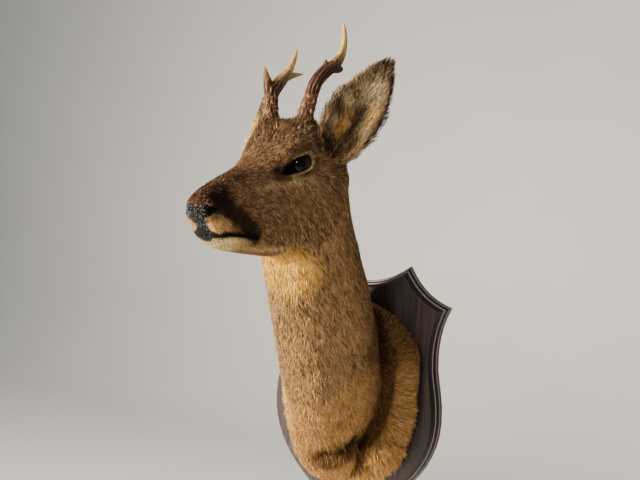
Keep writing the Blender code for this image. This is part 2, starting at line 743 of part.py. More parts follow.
def ear_surface(ear, side, rows=11, columns=9):
    """Points of the ear's outer skin: a gutter that opens towards the tip."""
    reach = Vector(ear["reach"])
    axis = reach.normalized()
    opens = Vector(ear["opens"])
    opens = (opens - axis * opens.dot(axis)).normalized()
    across = axis.cross(opens)
    grid = []
    for share in np.linspace(0, 1, rows):
        width = np.interp(share, EAR_LENGTH_STATIONS, EAR_WIDTHS)
        curl = radians(np.interp(share, EAR_LENGTH_STATIONS, EAR_CURLS))
        radius = width / sin(min(curl, pi / 2))
        spine = Vector(ear["root"]) + reach * share + opens * (ear["bend"] * sin(pi * share))
        row = []
        for w in np.linspace(-1, 1, columns):
            turn = w * curl
            row.append(from_head(spine + across * (radius * sin(turn)) + opens * (radius * (1 - cos(turn)) - 0.9)))
        grid.append(row)
    return grid


def make_ear(side, head, collection, helpers):
    name, ear = ("ear_left", EAR_LEFT) if side > 0 else ("ear_right", EAR_RIGHT)
    grid = ear_surface(ear, side)
    mesh = bpy.data.meshes.new(name)
    bm = bmesh.new()
    rows = [[bm.verts.new(p) for p in row] for row in grid]
    for low, high in zip(rows, rows[1:]):
        for a, b, c, d in zip(low, low[1:], high[1:], high):
            bm.faces.new((a, b, c, d))
    bm.to_mesh(mesh)
    bm.free()
    obj = link(bpy.data.objects.new(name, mesh), collection)
    wall = obj.modifiers.new("Wall", "SOLIDIFY")
    wall.thickness = EAR_THICK
    wall.offset = 0
    wall.use_even_offset = False
    apply_modifiers(obj)
    bm = bmesh.new()
    bm.from_mesh(obj.data)
    bmesh.ops.recalc_face_normals(bm, faces=bm.faces)
    bm.to_mesh(obj.data)
    bm.free()
    boolean(obj, swollen(head, GAP, helpers), "DIFFERENCE", "MANIFOLD")
    largest_shell(obj)
    obj.data.materials.append(material("ear"))
    return obj


# Antlers


def antler_piece(name, rows, sides, steps, helpers, furrowed=True):
    curve = smooth_path(rows, steps)
    points = [from_head(row[:3]) for row in curve]
    radii = [max(row[3], 0.06) * CM for row in curve]
    flutes, depth = (5, 0.16) if furrowed else (0, 0.0)
    return tube(name, points, radii, sides, helpers, flutes=flutes, flute_depth=depth)


def make_pearls(rows, seed, helpers):
    """Small knobs scattered over the rough lower beam, thickest at the foot and on the inner side."""
    draw = np.random.default_rng(seed)
    curve = smooth_path(rows[:5], 8)
    pearls = []
    for k in range(PEARLS_PER_BEAM):
        place = 4 + (len(curve) - 6) * (k / PEARLS_PER_BEAM) ** 1.25
        row = curve[int(place)]
        along = Vector(curve[int(place) + 1][:3] - row[:3]).normalized()
        side = along.orthogonal().normalized()
        turn = k * 2.4 + draw.uniform(-0.4, 0.4)
        out = side * cos(turn) + along.cross(side) * sin(turn)
        centre = from_head(Vector(row[:3]) + out * (row[3] * 0.90))
        size = PEARL_RADIUS * draw.uniform(0.75, 1.25) * (1 - 0.3 * k / PEARLS_PER_BEAM)
        pearl = (size, size, size * PEARL_STRETCH)
        pearls.append(make_ellipsoid("pearl", centre, pearl, aim(turned(along)), helpers, 6))
    return pearls


def make_antlers(head, collection, helpers):
    """Each antler fused whole, then parted at its main forks and cut clear of the head."""
    left = antler_piece("antler_left", ANTLER_LEFT_BEAM, 12, 3, helpers)
    extras = [
        antler_piece("knob", ANTLER_LEFT_KNOB, 8, 2, helpers, False),
        antler_piece("heel", ANTLER_LEFT_HEEL, 8, 2, helpers, False),
    ]
    join_all(left, extras + make_pearls(ANTLER_LEFT_BEAM, 3, helpers), "MANIFOLD")
    right = antler_piece("antler_right", ANTLER_RIGHT_BEAM, 12, 3, helpers)
    extras = [
        antler_piece("front_tine", ANTLER_RIGHT_FRONT, 8, 2, helpers, False),
        antler_piece("rear_tine", ANTLER_RIGHT_REAR, 8, 2, helpers, False),
    ]
    join_all(right, extras + make_pearls(ANTLER_RIGHT_BEAM, 5, helpers), "MANIFOLD")
    cuts = (
        ("antler_left_beam", left, (3.5, 4.6, 11.0), (0.2, 0.72, 0.66), -1, "antler"),
        ("antler_left_top", left, (3.5, 4.6, 11.0), (0.2, 0.72, 0.66), 1, "antler_tip"),
        ("antler_right_beam", right, (-3.1, 3.6, 8.9), (-0.1, 0.95, 0.3), -1, "antler"),
        ("antler_right_top", right, (-3.1, 3.6, 8.9), (-0.1, 0.95, 0.3), 1, "antler_tip"),
    )
    nodes = []
    for name, whole, place, normal, way, finish in cuts:
        node = duplicate(whole, name, collection)
        direction = turned(normal).normalized() * way
        keep_beyond(node, from_head(place) + direction * GAP / 2, direction, helpers)
        if way < 0:
            boolean(node, swollen(head, GAP, helpers), "DIFFERENCE", "MANIFOLD")
        largest_shell(node)
        node.data.materials.clear()
        node.data.materials.append(material(finish))
        nodes.append(node)
    for whole in (left, right):
        bpy.data.objects.remove(whole)
    return nodes


def main():
    clear_scene()
    mount = new_collection("roe_deer_shoulder_mount")
    helpers = new_collection("cutters", hidden=True)
    make_board(mount)
    flesh = make_flesh(helpers)
    head, _, _ = part_flesh(flesh, mount, helpers)
    finish_head(head, helpers)
    for side in (1, -1):
        make_eye(side, mount)
        make_ear(side, head, mount, helpers)
    make_antlers(head, mount, helpers)
    for obj in mount.objects:
        obj.data.shade_smooth()
        obj.data.set_sharp_from_angle(angle=radians(35))


main()
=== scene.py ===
"""Roe deer shoulder mount: one skin with its coat of tufts, glass eyes, antlers and the stained shield."""

import json
from math import cos, pi, radians, sin

import bmesh
import bpy
import numpy as np
from mathutils import Matrix, Vector
from mathutils.bvhtree import BVHTree
from mathutils.kdtree import KDTree

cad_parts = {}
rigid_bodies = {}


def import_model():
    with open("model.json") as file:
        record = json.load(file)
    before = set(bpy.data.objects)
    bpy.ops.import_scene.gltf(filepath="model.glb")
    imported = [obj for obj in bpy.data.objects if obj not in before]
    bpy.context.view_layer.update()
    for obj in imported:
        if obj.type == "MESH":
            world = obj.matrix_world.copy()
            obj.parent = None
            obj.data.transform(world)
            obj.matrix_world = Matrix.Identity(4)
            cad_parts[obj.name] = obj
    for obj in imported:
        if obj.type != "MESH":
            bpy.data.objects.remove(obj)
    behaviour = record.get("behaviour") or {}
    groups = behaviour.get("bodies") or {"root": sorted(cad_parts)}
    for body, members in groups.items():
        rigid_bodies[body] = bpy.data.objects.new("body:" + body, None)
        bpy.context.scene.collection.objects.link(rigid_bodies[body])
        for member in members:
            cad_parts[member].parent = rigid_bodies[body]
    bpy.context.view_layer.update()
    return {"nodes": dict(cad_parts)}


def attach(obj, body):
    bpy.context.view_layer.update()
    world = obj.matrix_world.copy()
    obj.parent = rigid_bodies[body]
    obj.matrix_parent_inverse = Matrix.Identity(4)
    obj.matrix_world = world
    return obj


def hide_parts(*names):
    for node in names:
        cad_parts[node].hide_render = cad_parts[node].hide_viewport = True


CM = 0.01
MM = 0.001

# The photograph's view
CAMERA_AT = Vector((0.442, -0.994, 0.217))
CAMERA_AZIMUTH, CAMERA_ELEVATION, CAMERA_ROLL = radians(27.8), radians(0.7), radians(4.4)
CAMERA_LENS = 40.5

# The head's frame, as in the CAD: centimetres from the point between the eyes
EYE_MIDPOINT = Vector((-0.016, -0.266, 0.295))
HEAD_TURN = radians(-8.2)
EYE_RADIUS = 0.0142
EYE_CENTRE = (3.55, 1.0, -0.22)
GAZE = (0.86, -0.50, 0.05)
LID_REAR, LID_FRONT, LID_RISE, LID_DROP = 1.45, 3.00, 1.14, 0.94
LID_SLOPE_REAR, LID_SLOPE_FRONT, LID_TAPER = 0.40, 1.15, 0.15
EARS = {
    "ear_left": {"root": (4.8, 5.7, 1.2), "reach": (6.1, 1.6, 11.7), "opens": (0.50, -0.84, 0.10)},
    "ear_right": {"root": (-3.8, 5.2, 0.2), "reach": (-7.4, 4.4, 9.3), "opens": (-0.45, -0.88, 0.06)},
}
FLESH = ("head", "neck", "shoulder_cape", "ear_left", "ear_right")
ANTLERS = {"antler_left": ("antler_left_beam", "antler_left_top"),
           "antler_right": ("antler_right_beam", "antler_right_top")}

# Skin
SEAM = 0.0004
SKIN_VOXEL = 0.0016
SKIN_FACES = 170000
BODY_LEVELS = 10
BOARD_FACE = -0.0203
BOARD_TOUCH = 0.0022
FACE_DEPTH, NAPE_DEPTH, NECK_DEPTH, CAPE_DEPTH, EAR_DEPTH = 0.0010, 0.0028, 0.0034, 0.0045, 0.0010

# Colours as seen, red, green, blue from 0 to 255
FACE = (138, 101, 67)
CROWN = (116, 84, 57)
BRIDGE = (68, 38, 26)
BRIDGE_TOP = (92, 66, 46)
CHEEK = (148, 109, 67)
LIP = (200, 152, 92)
JAW = (152, 114, 72)
LID = (186, 146, 106)
DARK = (40, 25, 17)
BLACK = (5, 5, 5)
CREAM = (250, 219, 154)
THROAT = (255, 195, 80)
NECK = (180, 138, 90)
NECK_BACK = (142, 104, 64)
# Darker flanks, partly the coat's own colour and partly painted shade
NECK_SIDE_SHADE = (110, 76, 46)
CAPE = (202, 152, 90)
CAPE_EDGE = (218, 166, 96)
# Painted shade, for the neck's valleys, the chest fold and the top of the collar
VALLEY_SHADE = (70, 38, 20)
EAR_IN = (144, 114, 78)
EAR_EDGE = (84, 60, 42)
EAR_PALE = (238, 212, 164)
EAR_OUT = (112, 82, 56)
OCHRE = (220, 164, 84)
HAIR_DARK = (46, 31, 21)
HAIR_PALE = (224, 198, 152)
GLINT = (146, 145, 144)
ANTLER_HOLLOW = (22, 14, 10)
ANTLER_BROWN = (94, 60, 40)
ANTLER_RIDGE = (178, 124, 84)
ANTLER_IVORY = (200, 158, 92)
ANTLER_GRIME = (66, 42, 28)
PUPIL = (5, 4, 4)
IRIS = (64, 39, 25)
WOOD_DARK = (42, 31, 29)
WOOD_LIGHT = (70, 55, 51)
WOOD_PORE = (30, 22, 22)
# Painted shade in the board's moulding, and painted highlights along its fillets
MOULDING_SHADE = (14, 10, 9)
FILLET_HIGHLIGHT = (138, 120, 112)
FLOOR = (238, 237, 233)
FLOOR_MOTTLE = (230, 229, 225)

# Patches inside each ear: colour, how far up, how far out in centimetres, their half sizes, and strength.
# The two DARK patches are painted shade deep in the cup, at its middle and at its root
EAR_PATCHES = (
    (EAR_PALE, 0.66, 0.0, 0.14, 1.1, 0.95), (EAR_PALE, 0.48, -2.0, 0.05, 1.1, 0.8),
    (EAR_PALE, 0.27, -1.6, 0.08, 0.8, 0.9), (EAR_PALE, 0.46, 1.9, 0.18, 0.9, 0.45),
    (OCHRE, 0.48, 1.9, 0.09, 0.6, 1.0), (OCHRE, 0.27, -0.9, 0.11, 0.8, 1.2),
    (DARK, 0.30, 0.2, 0.26, 0.5, 0.9), (EAR_EDGE, 0.38, -2.4, 0.07, 1.0, 0.8),
    (DARK, 0.03, -1.6, 0.10, 1.6, 1.0),
)

rng = np.random.default_rng(7)


def linear(colour):
    """Linear light from a colour as seen."""
    share = np.asarray(colour, float) / 255
    return np.where(share <= 0.04045, share / 12.92, ((share + 0.055) / 1.055) ** 2.4)


def smoothstep(low, high, value):
    t = np.clip((value - low) / (high - low), 0, 1)
    return t * t * (3 - 2 * t)


def unit(vectors):
    return vectors / np.maximum(np.linalg.norm(vectors, axis=-1, keepdims=True), 1e-9)


TURN = np.array(Matrix.Rotation(HEAD_TURN, 3, "Z"))


def from_head(point):
    return TURN @ (np.asarray(point, float) * CM) + np.array(EYE_MIDPOINT)


def to_head(points):
    return (points - np.array(EYE_MIDPOINT)) @ TURN / CM


def turned(direction):
    return unit(TURN @ np.asarray(direction, float))


# Working with objects


def choose(*objects):
    bpy.ops.object.select_all(action="DESELECT")
    for obj in objects:
        obj.select_set(True)
    bpy.context.view_layer.objects.active = objects[0]


def modify(obj, kind, **settings):
    choose(obj)
    bpy.ops.object.modifier_add(type=kind)
    modifier = obj.modifiers[-1]
    for name, value in settings.items():
        setattr(modifier, name, value)
    bpy.ops.object.modifier_apply(modifier=modifier.name)


def fused_copy(nodes, names, name):
    """Copies of CAD nodes, swollen across their gaps and joined into one object."""
    choose(*[nodes[node] for node in names])
    bpy.ops.object.duplicate()
    copies = list(bpy.context.selected_objects)
    bpy.ops.object.parent_clear(type="CLEAR_KEEP_TRANSFORM")
    for copy in copies:
        copy.data.materials.clear()
        choose(copy)
        bpy.ops.object.mode_set(mode="EDIT")
        bpy.ops.mesh.select_all(action="SELECT")
        bpy.ops.mesh.remove_doubles(threshold=1e-5)
        bpy.ops.object.mode_set(mode="OBJECT")
        modify(copy, "DISPLACE", strength=SEAM, mid_level=0)
    choose(*copies)
    bpy.ops.object.join()
    joined = bpy.context.object
    joined.name = joined.data.name = name
    return joined


def read(collection, key, width, kind=np.float32):
    data = np.empty(len(collection) * width, kind)
    collection.foreach_get(key, data)
    return data.reshape(-1, width) if width > 1 else data


def points_of(mesh):
    return read(mesh.vertices, "co", 3).astype(float)


def normals_of(mesh):
    return read(mesh.vertex_normals, "vector", 3).astype(float)


def set_points(mesh, points):
    mesh.vertices.foreach_set("co", points.astype(np.float32).ravel())
    mesh.update()


def add_attribute(mesh, name, values):
    values = np.asarray(values, np.float32)
    if values.ndim == 1:
        mesh.attributes.new(name, "FLOAT", "POINT").data.foreach_set("value", values)
    else:
        mesh.attributes.new(name, "FLOAT_COLOR", "POINT").data.foreach_set("color", values.ravel())


def shade_smooth(obj, angle=None):
    choose(obj)
    if angle is None:
        bpy.ops.object.shade_smooth()
    else:
        bpy.ops.object.shade_smooth_by_angle(angle=angle)


def surface_tree(obj):
    mesh = obj.data
    mesh.calc_loop_triangles()
    corners = read(mesh.loop_triangles, "vertices", 3, np.int32)
    return BVHTree.FromPolygons(points_of(mesh).tolist(), corners.tolist())


def spread(values, edges, rounds):
    """Values smoothed over a mesh's edges."""
    count = len(values)
    degree = np.bincount(edges.ravel(), minlength=count)[:, None]
    values = values.reshape(count, -1)
    for _ in range(rounds):
        total = np.empty_like(values)
        for column in range(values.shape[1]):
            lane = values[:, column]
            total[:, column] = np.bincount(edges[:, 0], lane[edges[:, 1]], count)
            total[:, column] += np.bincount(edges[:, 1], lane[edges[:, 0]], count)
        values = 0.5 * values + 0.5 * total / np.maximum(degree, 1)
    return values


def distance_to_path(points, path):
    """How far each point is from a line through the path's points."""
    nearest = np.full(len(points), np.inf)
    for start, end in zip(path[:-1], path[1:]):
        along = end - start
        share = np.clip((points - start) @ along / max(along @ along, 1e-12), 0, 1)
        nearest = np.minimum(nearest, np.linalg.norm(points - start - share[:, None] * along, axis=1))
    return nearest


# The head's lines, in the head's frame for the deer's left side
LINES = {
    "brow": ((2.9, -1.4, 0.9), (3.3, -0.4, 1.9), (3.6, 0.8, 2.4), (4.0, 2.2, 2.0), (4.3, 3.1, 1.0)),
    "brow_crease": ((3.0, -0.9, 1.0), (3.5, 0.1, 1.6), (3.8, 1.1, 1.8), (4.2, 2.2, 1.3)),
    "under_fold": ((3.1, -1.3, -1.8), (3.7, 0.0, -2.2), (4.2, 1.3, -2.1), (4.4, 2.4, -1.4)),
    "under_crease": ((3.3, -0.8, -1.45), (3.9, 0.4, -1.75), (4.3, 1.6, -1.5)),
    "tear_duct": ((3.1, -1.6, -0.85), (2.9, -2.2, -1.15), (2.75, -2.8, -1.5)),
    "cheek_light": ((3.4, -0.4, -2.2), (3.2, -2.6, -2.9), (2.9, -5.0, -3.6)),
    "cheek_hollow": ((3.2, -4.0, -4.2), (2.9, -6.0, -5.2)),
    "jaw_muscle": ((4.4, 1.2, -3.2), (4.2, 1.6, -5.4)),
    "jaw_edge": ((2.2, -7.5, -10.3), (2.7, -4.5, -10.6), (3.2, -1.5, -10.3), (3.4, 1.0, -9.8)),
    "upper_lip": ((1.5, -10.6, -7.9), (2.2, -9.3, -8.0), (2.6, -7.6, -8.2)),
    "philtrum": ((0.0, -11.9, -7.3), (0.0, -11.4, -8.1), (0.0, -10.2, -8.8)),
    "mouth": ((0.0, -10.05, -9.0), (1.15, -9.65, -8.9), (1.95, -8.9, -8.87), (2.4, -7.9, -8.9),
              (2.75, -6.6, -8.95), (3.1, -5.0, -9.0)),
    "mouth_corner": ((2.7, -6.4, -8.5), (3.0, -5.2, -8.9), (3.0, -5.2, -9.3)),
    "nostril": ((1.85, -11.2, -6.3), (1.9, -11.4, -6.45)),
    "muzzle_band": ((2.1, -10.1, -5.3), (2.5, -8.6, -6.4), (2.9, -7.0, -7.3), (3.1, -5.9, -8.4)),
}

# The fold across the chest, in centimetres in the world
CHEST_FOLD = ((4.6, -8.2, -7.4), (3.2, -9.8, -8.2), (1.6, -11.0, -8.8), (0.2, -11.3, -9.2))


def mirrored(line):
    return tuple((-x, y, z) for x, y, z in line)


class Lines:
    """The head's lines laid on its surface, with how far points are from them."""

    def __init__(self, tree, cape_tree):
        self.paths = {"chest_fold": [
            np.array([cape_tree.find_nearest(Vector(point) * CM)[0] for point in CHEST_FOLD])
        ]}
        for name, line in LINES.items():
            self.paths[name] = [
                np.array([tree.find_nearest(Vector(from_head(point)))[0] for point in side])
                for side in (line, mirrored(line))
            ]

    def near(self, name, points, reach):
        """A soft band along a line: 1 on it, falling off over a reach in centimetres."""
        far = np.minimum.reduce([distance_to_path(points, path) for path in self.paths[name]])
        return np.exp(-((far / (reach * CM)) ** 2))


def lid_opening(q):
    """Where points lie between the lids, under 1 inside the almond, and how far up and back in cm."""
    out = unit(np.array(GAZE))
    back = np.array([0.30, 0.95, 0.10])
    back = unit(back - out * (back @ out))
    up = np.cross(out, back)
    offset = q - np.array(EYE_CENTRE)
    along = offset @ back
    width = np.where(along > 0, LID_REAR, LID_FRONT)
    share = np.clip(along / width, -1, 1)
    lift = offset @ up - np.where(share > 0, LID_SLOPE_REAR, LID_SLOPE_FRONT) * share
    height = np.where(lift > 0, LID_RISE, LID_DROP) * (1 - LID_TAPER * np.clip(-share, 0, 1))
    far = np.sqrt((along / width) ** 2 + (lift / height) ** 2)
    return np.where(offset @ out > -0.2, far, 9.0), lift, along


def blob(points, centre, radii):
    """A soft round mask in the head's frame: 1 inside, 0 past the radii."""
    far = np.linalg.norm((points - np.array(centre)) / np.array(radii), axis=1)
    return 1 - smoothstep(0.55, 1.15, far)


def both_sides(points):
    """The same points with the deer's right side folded onto the left."""
    folded = points.copy()
    folded[:, 0] = np.abs(folded[:, 0])
    return folded


# Skin


def make_skin(nodes):
    """One skin over all the flesh, left finest on the face and sparser on the body."""
    skin = fused_copy(nodes, FLESH, "skin")
    modify(skin, "REMESH", mode="VOXEL", voxel_size=SKIN_VOXEL)
    modify(skin, "SMOOTH", factor=0.5, iterations=3)
    mesh = skin.data
    points = points_of(mesh)
    head_points = to_head(points)
    body = smoothstep(5.0, 9.0, head_points[:, 1] - 0.55 * (head_points[:, 2] + 4))
    near_ear = np.zeros(len(points), bool)
    for ear in EARS.values():
        along = (head_points - ear["root"]) @ unit(np.array(ear["reach"], float))
        near_ear |= along > 0.5
    body[near_ear] = 0.35
    group = skin.vertex_groups.new(name="body")
    for level in range(1, BODY_LEVELS + 1):
        chosen = np.flatnonzero(np.round(body * BODY_LEVELS) == level)
        group.add(chosen.tolist(), level / BODY_LEVELS, "REPLACE")
    ratio = min(1.0, SKIN_FACES / (2 * len(mesh.polygons)))
    modify(skin, "DECIMATE", ratio=ratio, vertex_group="body", use_collapse_triangulate=True)
    skin.vertex_groups.clear()
    return skin


class Fields:
    """What varies over the skin, a row for each vertex."""

    def __init__(self, skin, nodes):
        mesh = skin.data
        self.points = points_of(mesh)
        self.normals = normals_of(mesh)
        self.edges = read(mesh.edges, "vertices", 2, np.int32)
        self.head = to_head(self.points)
        self.region = self.find_region(nodes)
        self.opening, self.lid_lift, self.lid_along = lid_opening(both_sides(self.head))

    def find_region(self, nodes):
        """Shares of head, neck, cape and ears, soft across their borders."""
        far = []
        for name in FLESH:
            tree = surface_tree(nodes[name])
            far.append([tree.find_nearest(point)[3] for point in self.points.tolist()])
        nearest = np.argmin(np.array(far), axis=0)
        hard = np.eye(len(FLESH))[nearest]
        ears = hard[:, 3:].copy()
        soft = spread(hard, self.edges, 14)
        soft[:, 3:] = spread(ears, self.edges, 3)
        return soft / soft.sum(axis=1, keepdims=True)

    def ear_shares(self):
        """Each ear's name and its share of every vertex."""
        return list(zip(EARS, self.region.T[3:]))

    def ear_place(self, name):
        """How far up an ear's length and across it each vertex is, and whether it faces into the cup."""
        ear = EARS[name]
        reach = np.array(ear["reach"], float)
        length = np.linalg.norm(reach)
        axis = turned(reach)
        opens = turned(ear["opens"])
        opens = unit(opens - axis * (opens @ axis))
        offset = self.points - from_head(ear["root"])
        up = offset @ axis / (length * CM)
        across = offset @ np.cross(axis, opens) / CM
        inside = smoothstep(-0.15, 0.25, self.normals @ opens)
        return up, across, inside, axis


def shape_skin(skin, fields, lines):
    """Draws the skin in by the coat's depth and gives it folds."""
    points, q = fields.points, both_sides(fields.head)
    head, neck, cape, ear_left, ear_right = fields.region.T
    ears = ear_left + ear_right
    to_eye = np.linalg.norm(q - EYE_CENTRE, axis=1)
    bare = np.maximum.reduce([
        1 - smoothstep(1.8, 2.6, to_eye),
        blob(q, (0.6, -11.4, -6.6), (2.3, 1.7, 1.7)),
        lines.near("mouth", points, 0.45),
        lines.near("nostril", points, 0.7),
    ])
    face = FACE_DEPTH + (NAPE_DEPTH - FACE_DEPTH) * smoothstep(-2, 6, q[:, 1])
    depth = head * face * (1 - bare) + neck * NECK_DEPTH + cape * CAPE_DEPTH + ears * EAR_DEPTH
    relief = (
        0.9 * lines.near("brow", points, 0.38)
        - 0.7 * lines.near("brow_crease", points, 0.2)
        + 0.7 * lines.near("under_fold", points, 0.3)
        - 0.6 * lines.near("under_crease", points, 0.2)
        - 1.7 * lines.near("tear_duct", points, 0.22)
        + 0.7 * lines.near("tear_duct", points, 0.6)
        - 1.6 * lines.near("cheek_hollow", points, 1.5)
        + 1.8 * lines.near("jaw_muscle", points, 1.7)
        + 1.2 * lines.near("upper_lip", points, 0.6)
        - 1.4 * lines.near("philtrum", points, 0.13)
        + 0.9 * lines.near("nostril", points, 0.75)
        - 1.6 * lines.near("nostril", points, 0.4)
        - 2.6 * (1 - smoothstep(0.72, 0.94, fields.opening))
        - 6.0 * lines.near("chest_fold", points, 1.0)
        + 1.4 * lines.near("chest_fold", points - np.array([0, 0, -2.0 * CM]), 1.2) * cape
    ) * MM
    depth = spread(depth, fields.edges, 4)[:, 0]
    corner = blob(q, (4.5, 7.0, -1.8), (2.6, 2.7, 3.2))[:, None]
    eased = points + (spread(points, fields.edges, 80) - points) * corner
    moved = eased + fields.normals * (relief - depth)[:, None]
    on_board = points[:, 1] > BOARD_FACE - BOARD_TOUCH
    moved[on_board, 1] = points[on_board, 1]
    moved[:, 1] = np.minimum(moved[:, 1], BOARD_FACE)
    set_points(skin.data, moved)
    fields.points, fields.normals = points_of(skin.data), normals_of(skin.data)
    fields.on_board = on_board
    away = spread(fields.points, fields.edges, 90) - fields.points
    fields.hollow = np.sum(away * fields.normals, axis=1)


def blend(colour, other, share):
    return colour + (linear(other) - colour) * share[:, None]


def paint(fields, lines):
    """The markings, with painted shade in the neck's valleys and chest fold, on the flanks and upper
    collar, in the brow crease and deep in the ear cups: a colour and how grizzled it is at each vertex of
    the skin.
    """
    points, q = fields.points, both_sides(fields.head)
    y, z = q[:, 1], q[:, 2]
    head, neck, cape = fields.region.T[:3]
    body = neck + cape
    height = points[:, 2] / CM
    colour = np.tile(linear(FACE), (len(points), 1))
    colour = blend(colour, CROWN, smoothstep(0.4, 2.4, z + 0.35 * y) * (1 - smoothstep(-5, -8, y)))
    colour = blend(colour, CHEEK, blob(q, (4.2, 1.5, -3.6), (3.0, 4.5, 3.2)) * 0.7)
    colour = blend(colour, BRIDGE, blob(q, (0.6, -10.0, -4.9), (2.4, 3.0, 1.9)))
    colour = blend(colour, BRIDGE_TOP, blob(q, (0.3, -7.0, -2.8), (1.8, 4.5, 1.7)) * 0.75)
    colour = blend(colour, LIP, blob(q, (1.6, -9.8, -7.9), (1.8, 2.1, 1.1)))
    wander = 0.18 * wave(points, 0.012, 31)
    band = smoothstep(0.16, 0.74, lines.near("muzzle_band", points, 1.35) + wander)
    colour = blend(colour, DARK, band * 0.93)
    chin = smoothstep(-8.95, -9.3, z) * smoothstep(-2.5, -5.0, y) * head
    colour = blend(colour, JAW, chin)
    colour = blend(colour, CREAM, chin * smoothstep(-5.5, -8.6, y))
    colour = blend(colour, CREAM, lines.near("jaw_edge", points, 0.5) * 0.35)
    colour = blend(colour, CREAM, blob(q, (1.0, -10.8, -8.2), (0.8, 0.9, 0.6)) * 0.3)
    colour = blend(colour, CREAM, lines.near("under_fold", points, 0.4) * 0.35)
    colour = blend(colour, CREAM, lines.near("cheek_light", points, 0.45) * 0.3)
    colour = blend(colour, CREAM, lines.near("brow", points, 0.3) * 0.14)
    lip_corner = smoothstep(0.35, 0.7, lines.near("mouth_corner", points, 0.75) + wander)
    colour = blend(colour, DARK, lip_corner * 0.9)
    colour = blend(colour, NECK, body)
    nape = smoothstep(-0.2, 0.7, fields.normals @ unit(np.array([0.1, 0.75, 0.6])))
    colour = blend(colour, NECK_BACK, nape * neck * 0.8)
    colour = blend(colour, CAPE, cape * 0.85)
    # The flanks of neck and cape made darker by which way they face: partly a darker coat there, partly
    # painted shade
    flank_shade = np.maximum(*(fields.normals @ unit(np.array([side, 0.6, 0.0])) for side in (0.8, -0.8)))
    flank_shade = smoothstep(0.62, 1.0, flank_shade) * smoothstep(-10.0, -3.0, height)
    colour = blend(colour, NECK_SIDE_SHADE, flank_shade * body * 0.65)
    colour = blend(colour, CAPE_EDGE, cape * smoothstep(-5.0, -12.0, height) * 0.7)
    # Painted shade in the hollow between the neck and the collar, darker where the skin is concave
    valley_shade = smoothstep(0.0004, 0.0030, fields.hollow) * smoothstep(-12.5, -10.5, height)
    colour = blend(colour, VALLEY_SHADE, valley_shade * body * 0.85)
    # Painted shade along the fold across the chest
    fold = lines.near("chest_fold", points, 2.3) + 0.15 * wave(points, 0.012, 41)
    colour = blend(colour, VALLEY_SHADE, smoothstep(0.2, 0.8, fold) * body * 0.8)
    # Painted shadow on the upper part of the collar, where the neck shades it
    shaded = smoothstep(2.0, 7.0, height + 0.6 * wave(points, 0.03, 17))
    colour = blend(colour, VALLEY_SHADE, shaded * cape * 0.75)
    throat = blob(fields.head, (0.8, 3.4, -12.2), (4.6, 4.2, 3.9))
    colour = blend(colour, THROAT, throat * 0.9)
    colour = blend(colour, CREAM, throat * smoothstep(-9.5, -11, z) * 0.1)
    for name, share in fields.ear_shares():
        up, across, inside, _ = fields.ear_place(name)
        ear = np.tile(linear(EAR_OUT), (len(points), 1))
        ear = blend(ear, EAR_IN, inside)
        outer = across if name == "ear_left" else -across
        # The ear's patches; the dark ones are painted shade deep in the cup
        for patch, at, side, long, wide, strength in EAR_PATCHES:
            spot = np.exp(-(((up - at) / long) ** 2) - ((outer - side) / wide) ** 2)
            ear = blend(ear, patch, np.clip(spot * strength * inside, 0, 1))
        ear = blend(ear, DARK, smoothstep(0.70, 0.92, up + 0.03 * wave(points, 0.02, 9)) * 0.85)
        ear = blend(ear, EAR_EDGE, smoothstep(-2.1, -2.9, outer) * smoothstep(0.25, 0.4, up) * 0.8)
        rim = smoothstep(2.0, 3.2, outer + 1.6 * smoothstep(0.45, 0.9, up))
        ear = blend(ear, DARK, rim * smoothstep(0.1, 0.35, up) * (0.95 - 0.2 * inside))
        if name == "ear_right":
            edge = smoothstep(0.6, 1.8, outer) * smoothstep(1.0, 0.85, up)
            ear = blend(ear, THROAT, edge * smoothstep(0.20, 0.36, up) * 0.7)
            ear = blend(ear, FACE, smoothstep(0.30, 0.16, up) * (1 - inside))
        colour = colour + (ear - colour) * share[:, None]
    colour = blend(colour, DARK, blob(q, (2.6, 2.3, 3.7), (1.7, 1.7, 1.3)) * head * 0.5)
    to_eye = np.linalg.norm(q - EYE_CENTRE, axis=1)
    opening = fields.opening
    upper = smoothstep(0.0, 0.35, fields.lid_lift)
    rear = smoothstep(-1.9, -1.2, fields.lid_along)
    colour = blend(colour, DARK, (1 - smoothstep(1.2, 1.7, opening)) * (0.75 - 0.45 * rear))
    colour = blend(colour, LID, (1 - smoothstep(1.08, 1.20, opening)) * rear * (0.6 + 0.3 * upper))
    below = smoothstep(0.1, -0.3, fields.lid_lift) * smoothstep(0.1, 0.7, fields.lid_along)
    colour = blend(colour, CREAM, (1 - smoothstep(1.08, 1.20, opening)) * below * 0.6)
    colour = blend(colour, DARK, np.clip(1.3 * lines.near("tear_duct", points, 0.25), 0, 1) * 0.9)
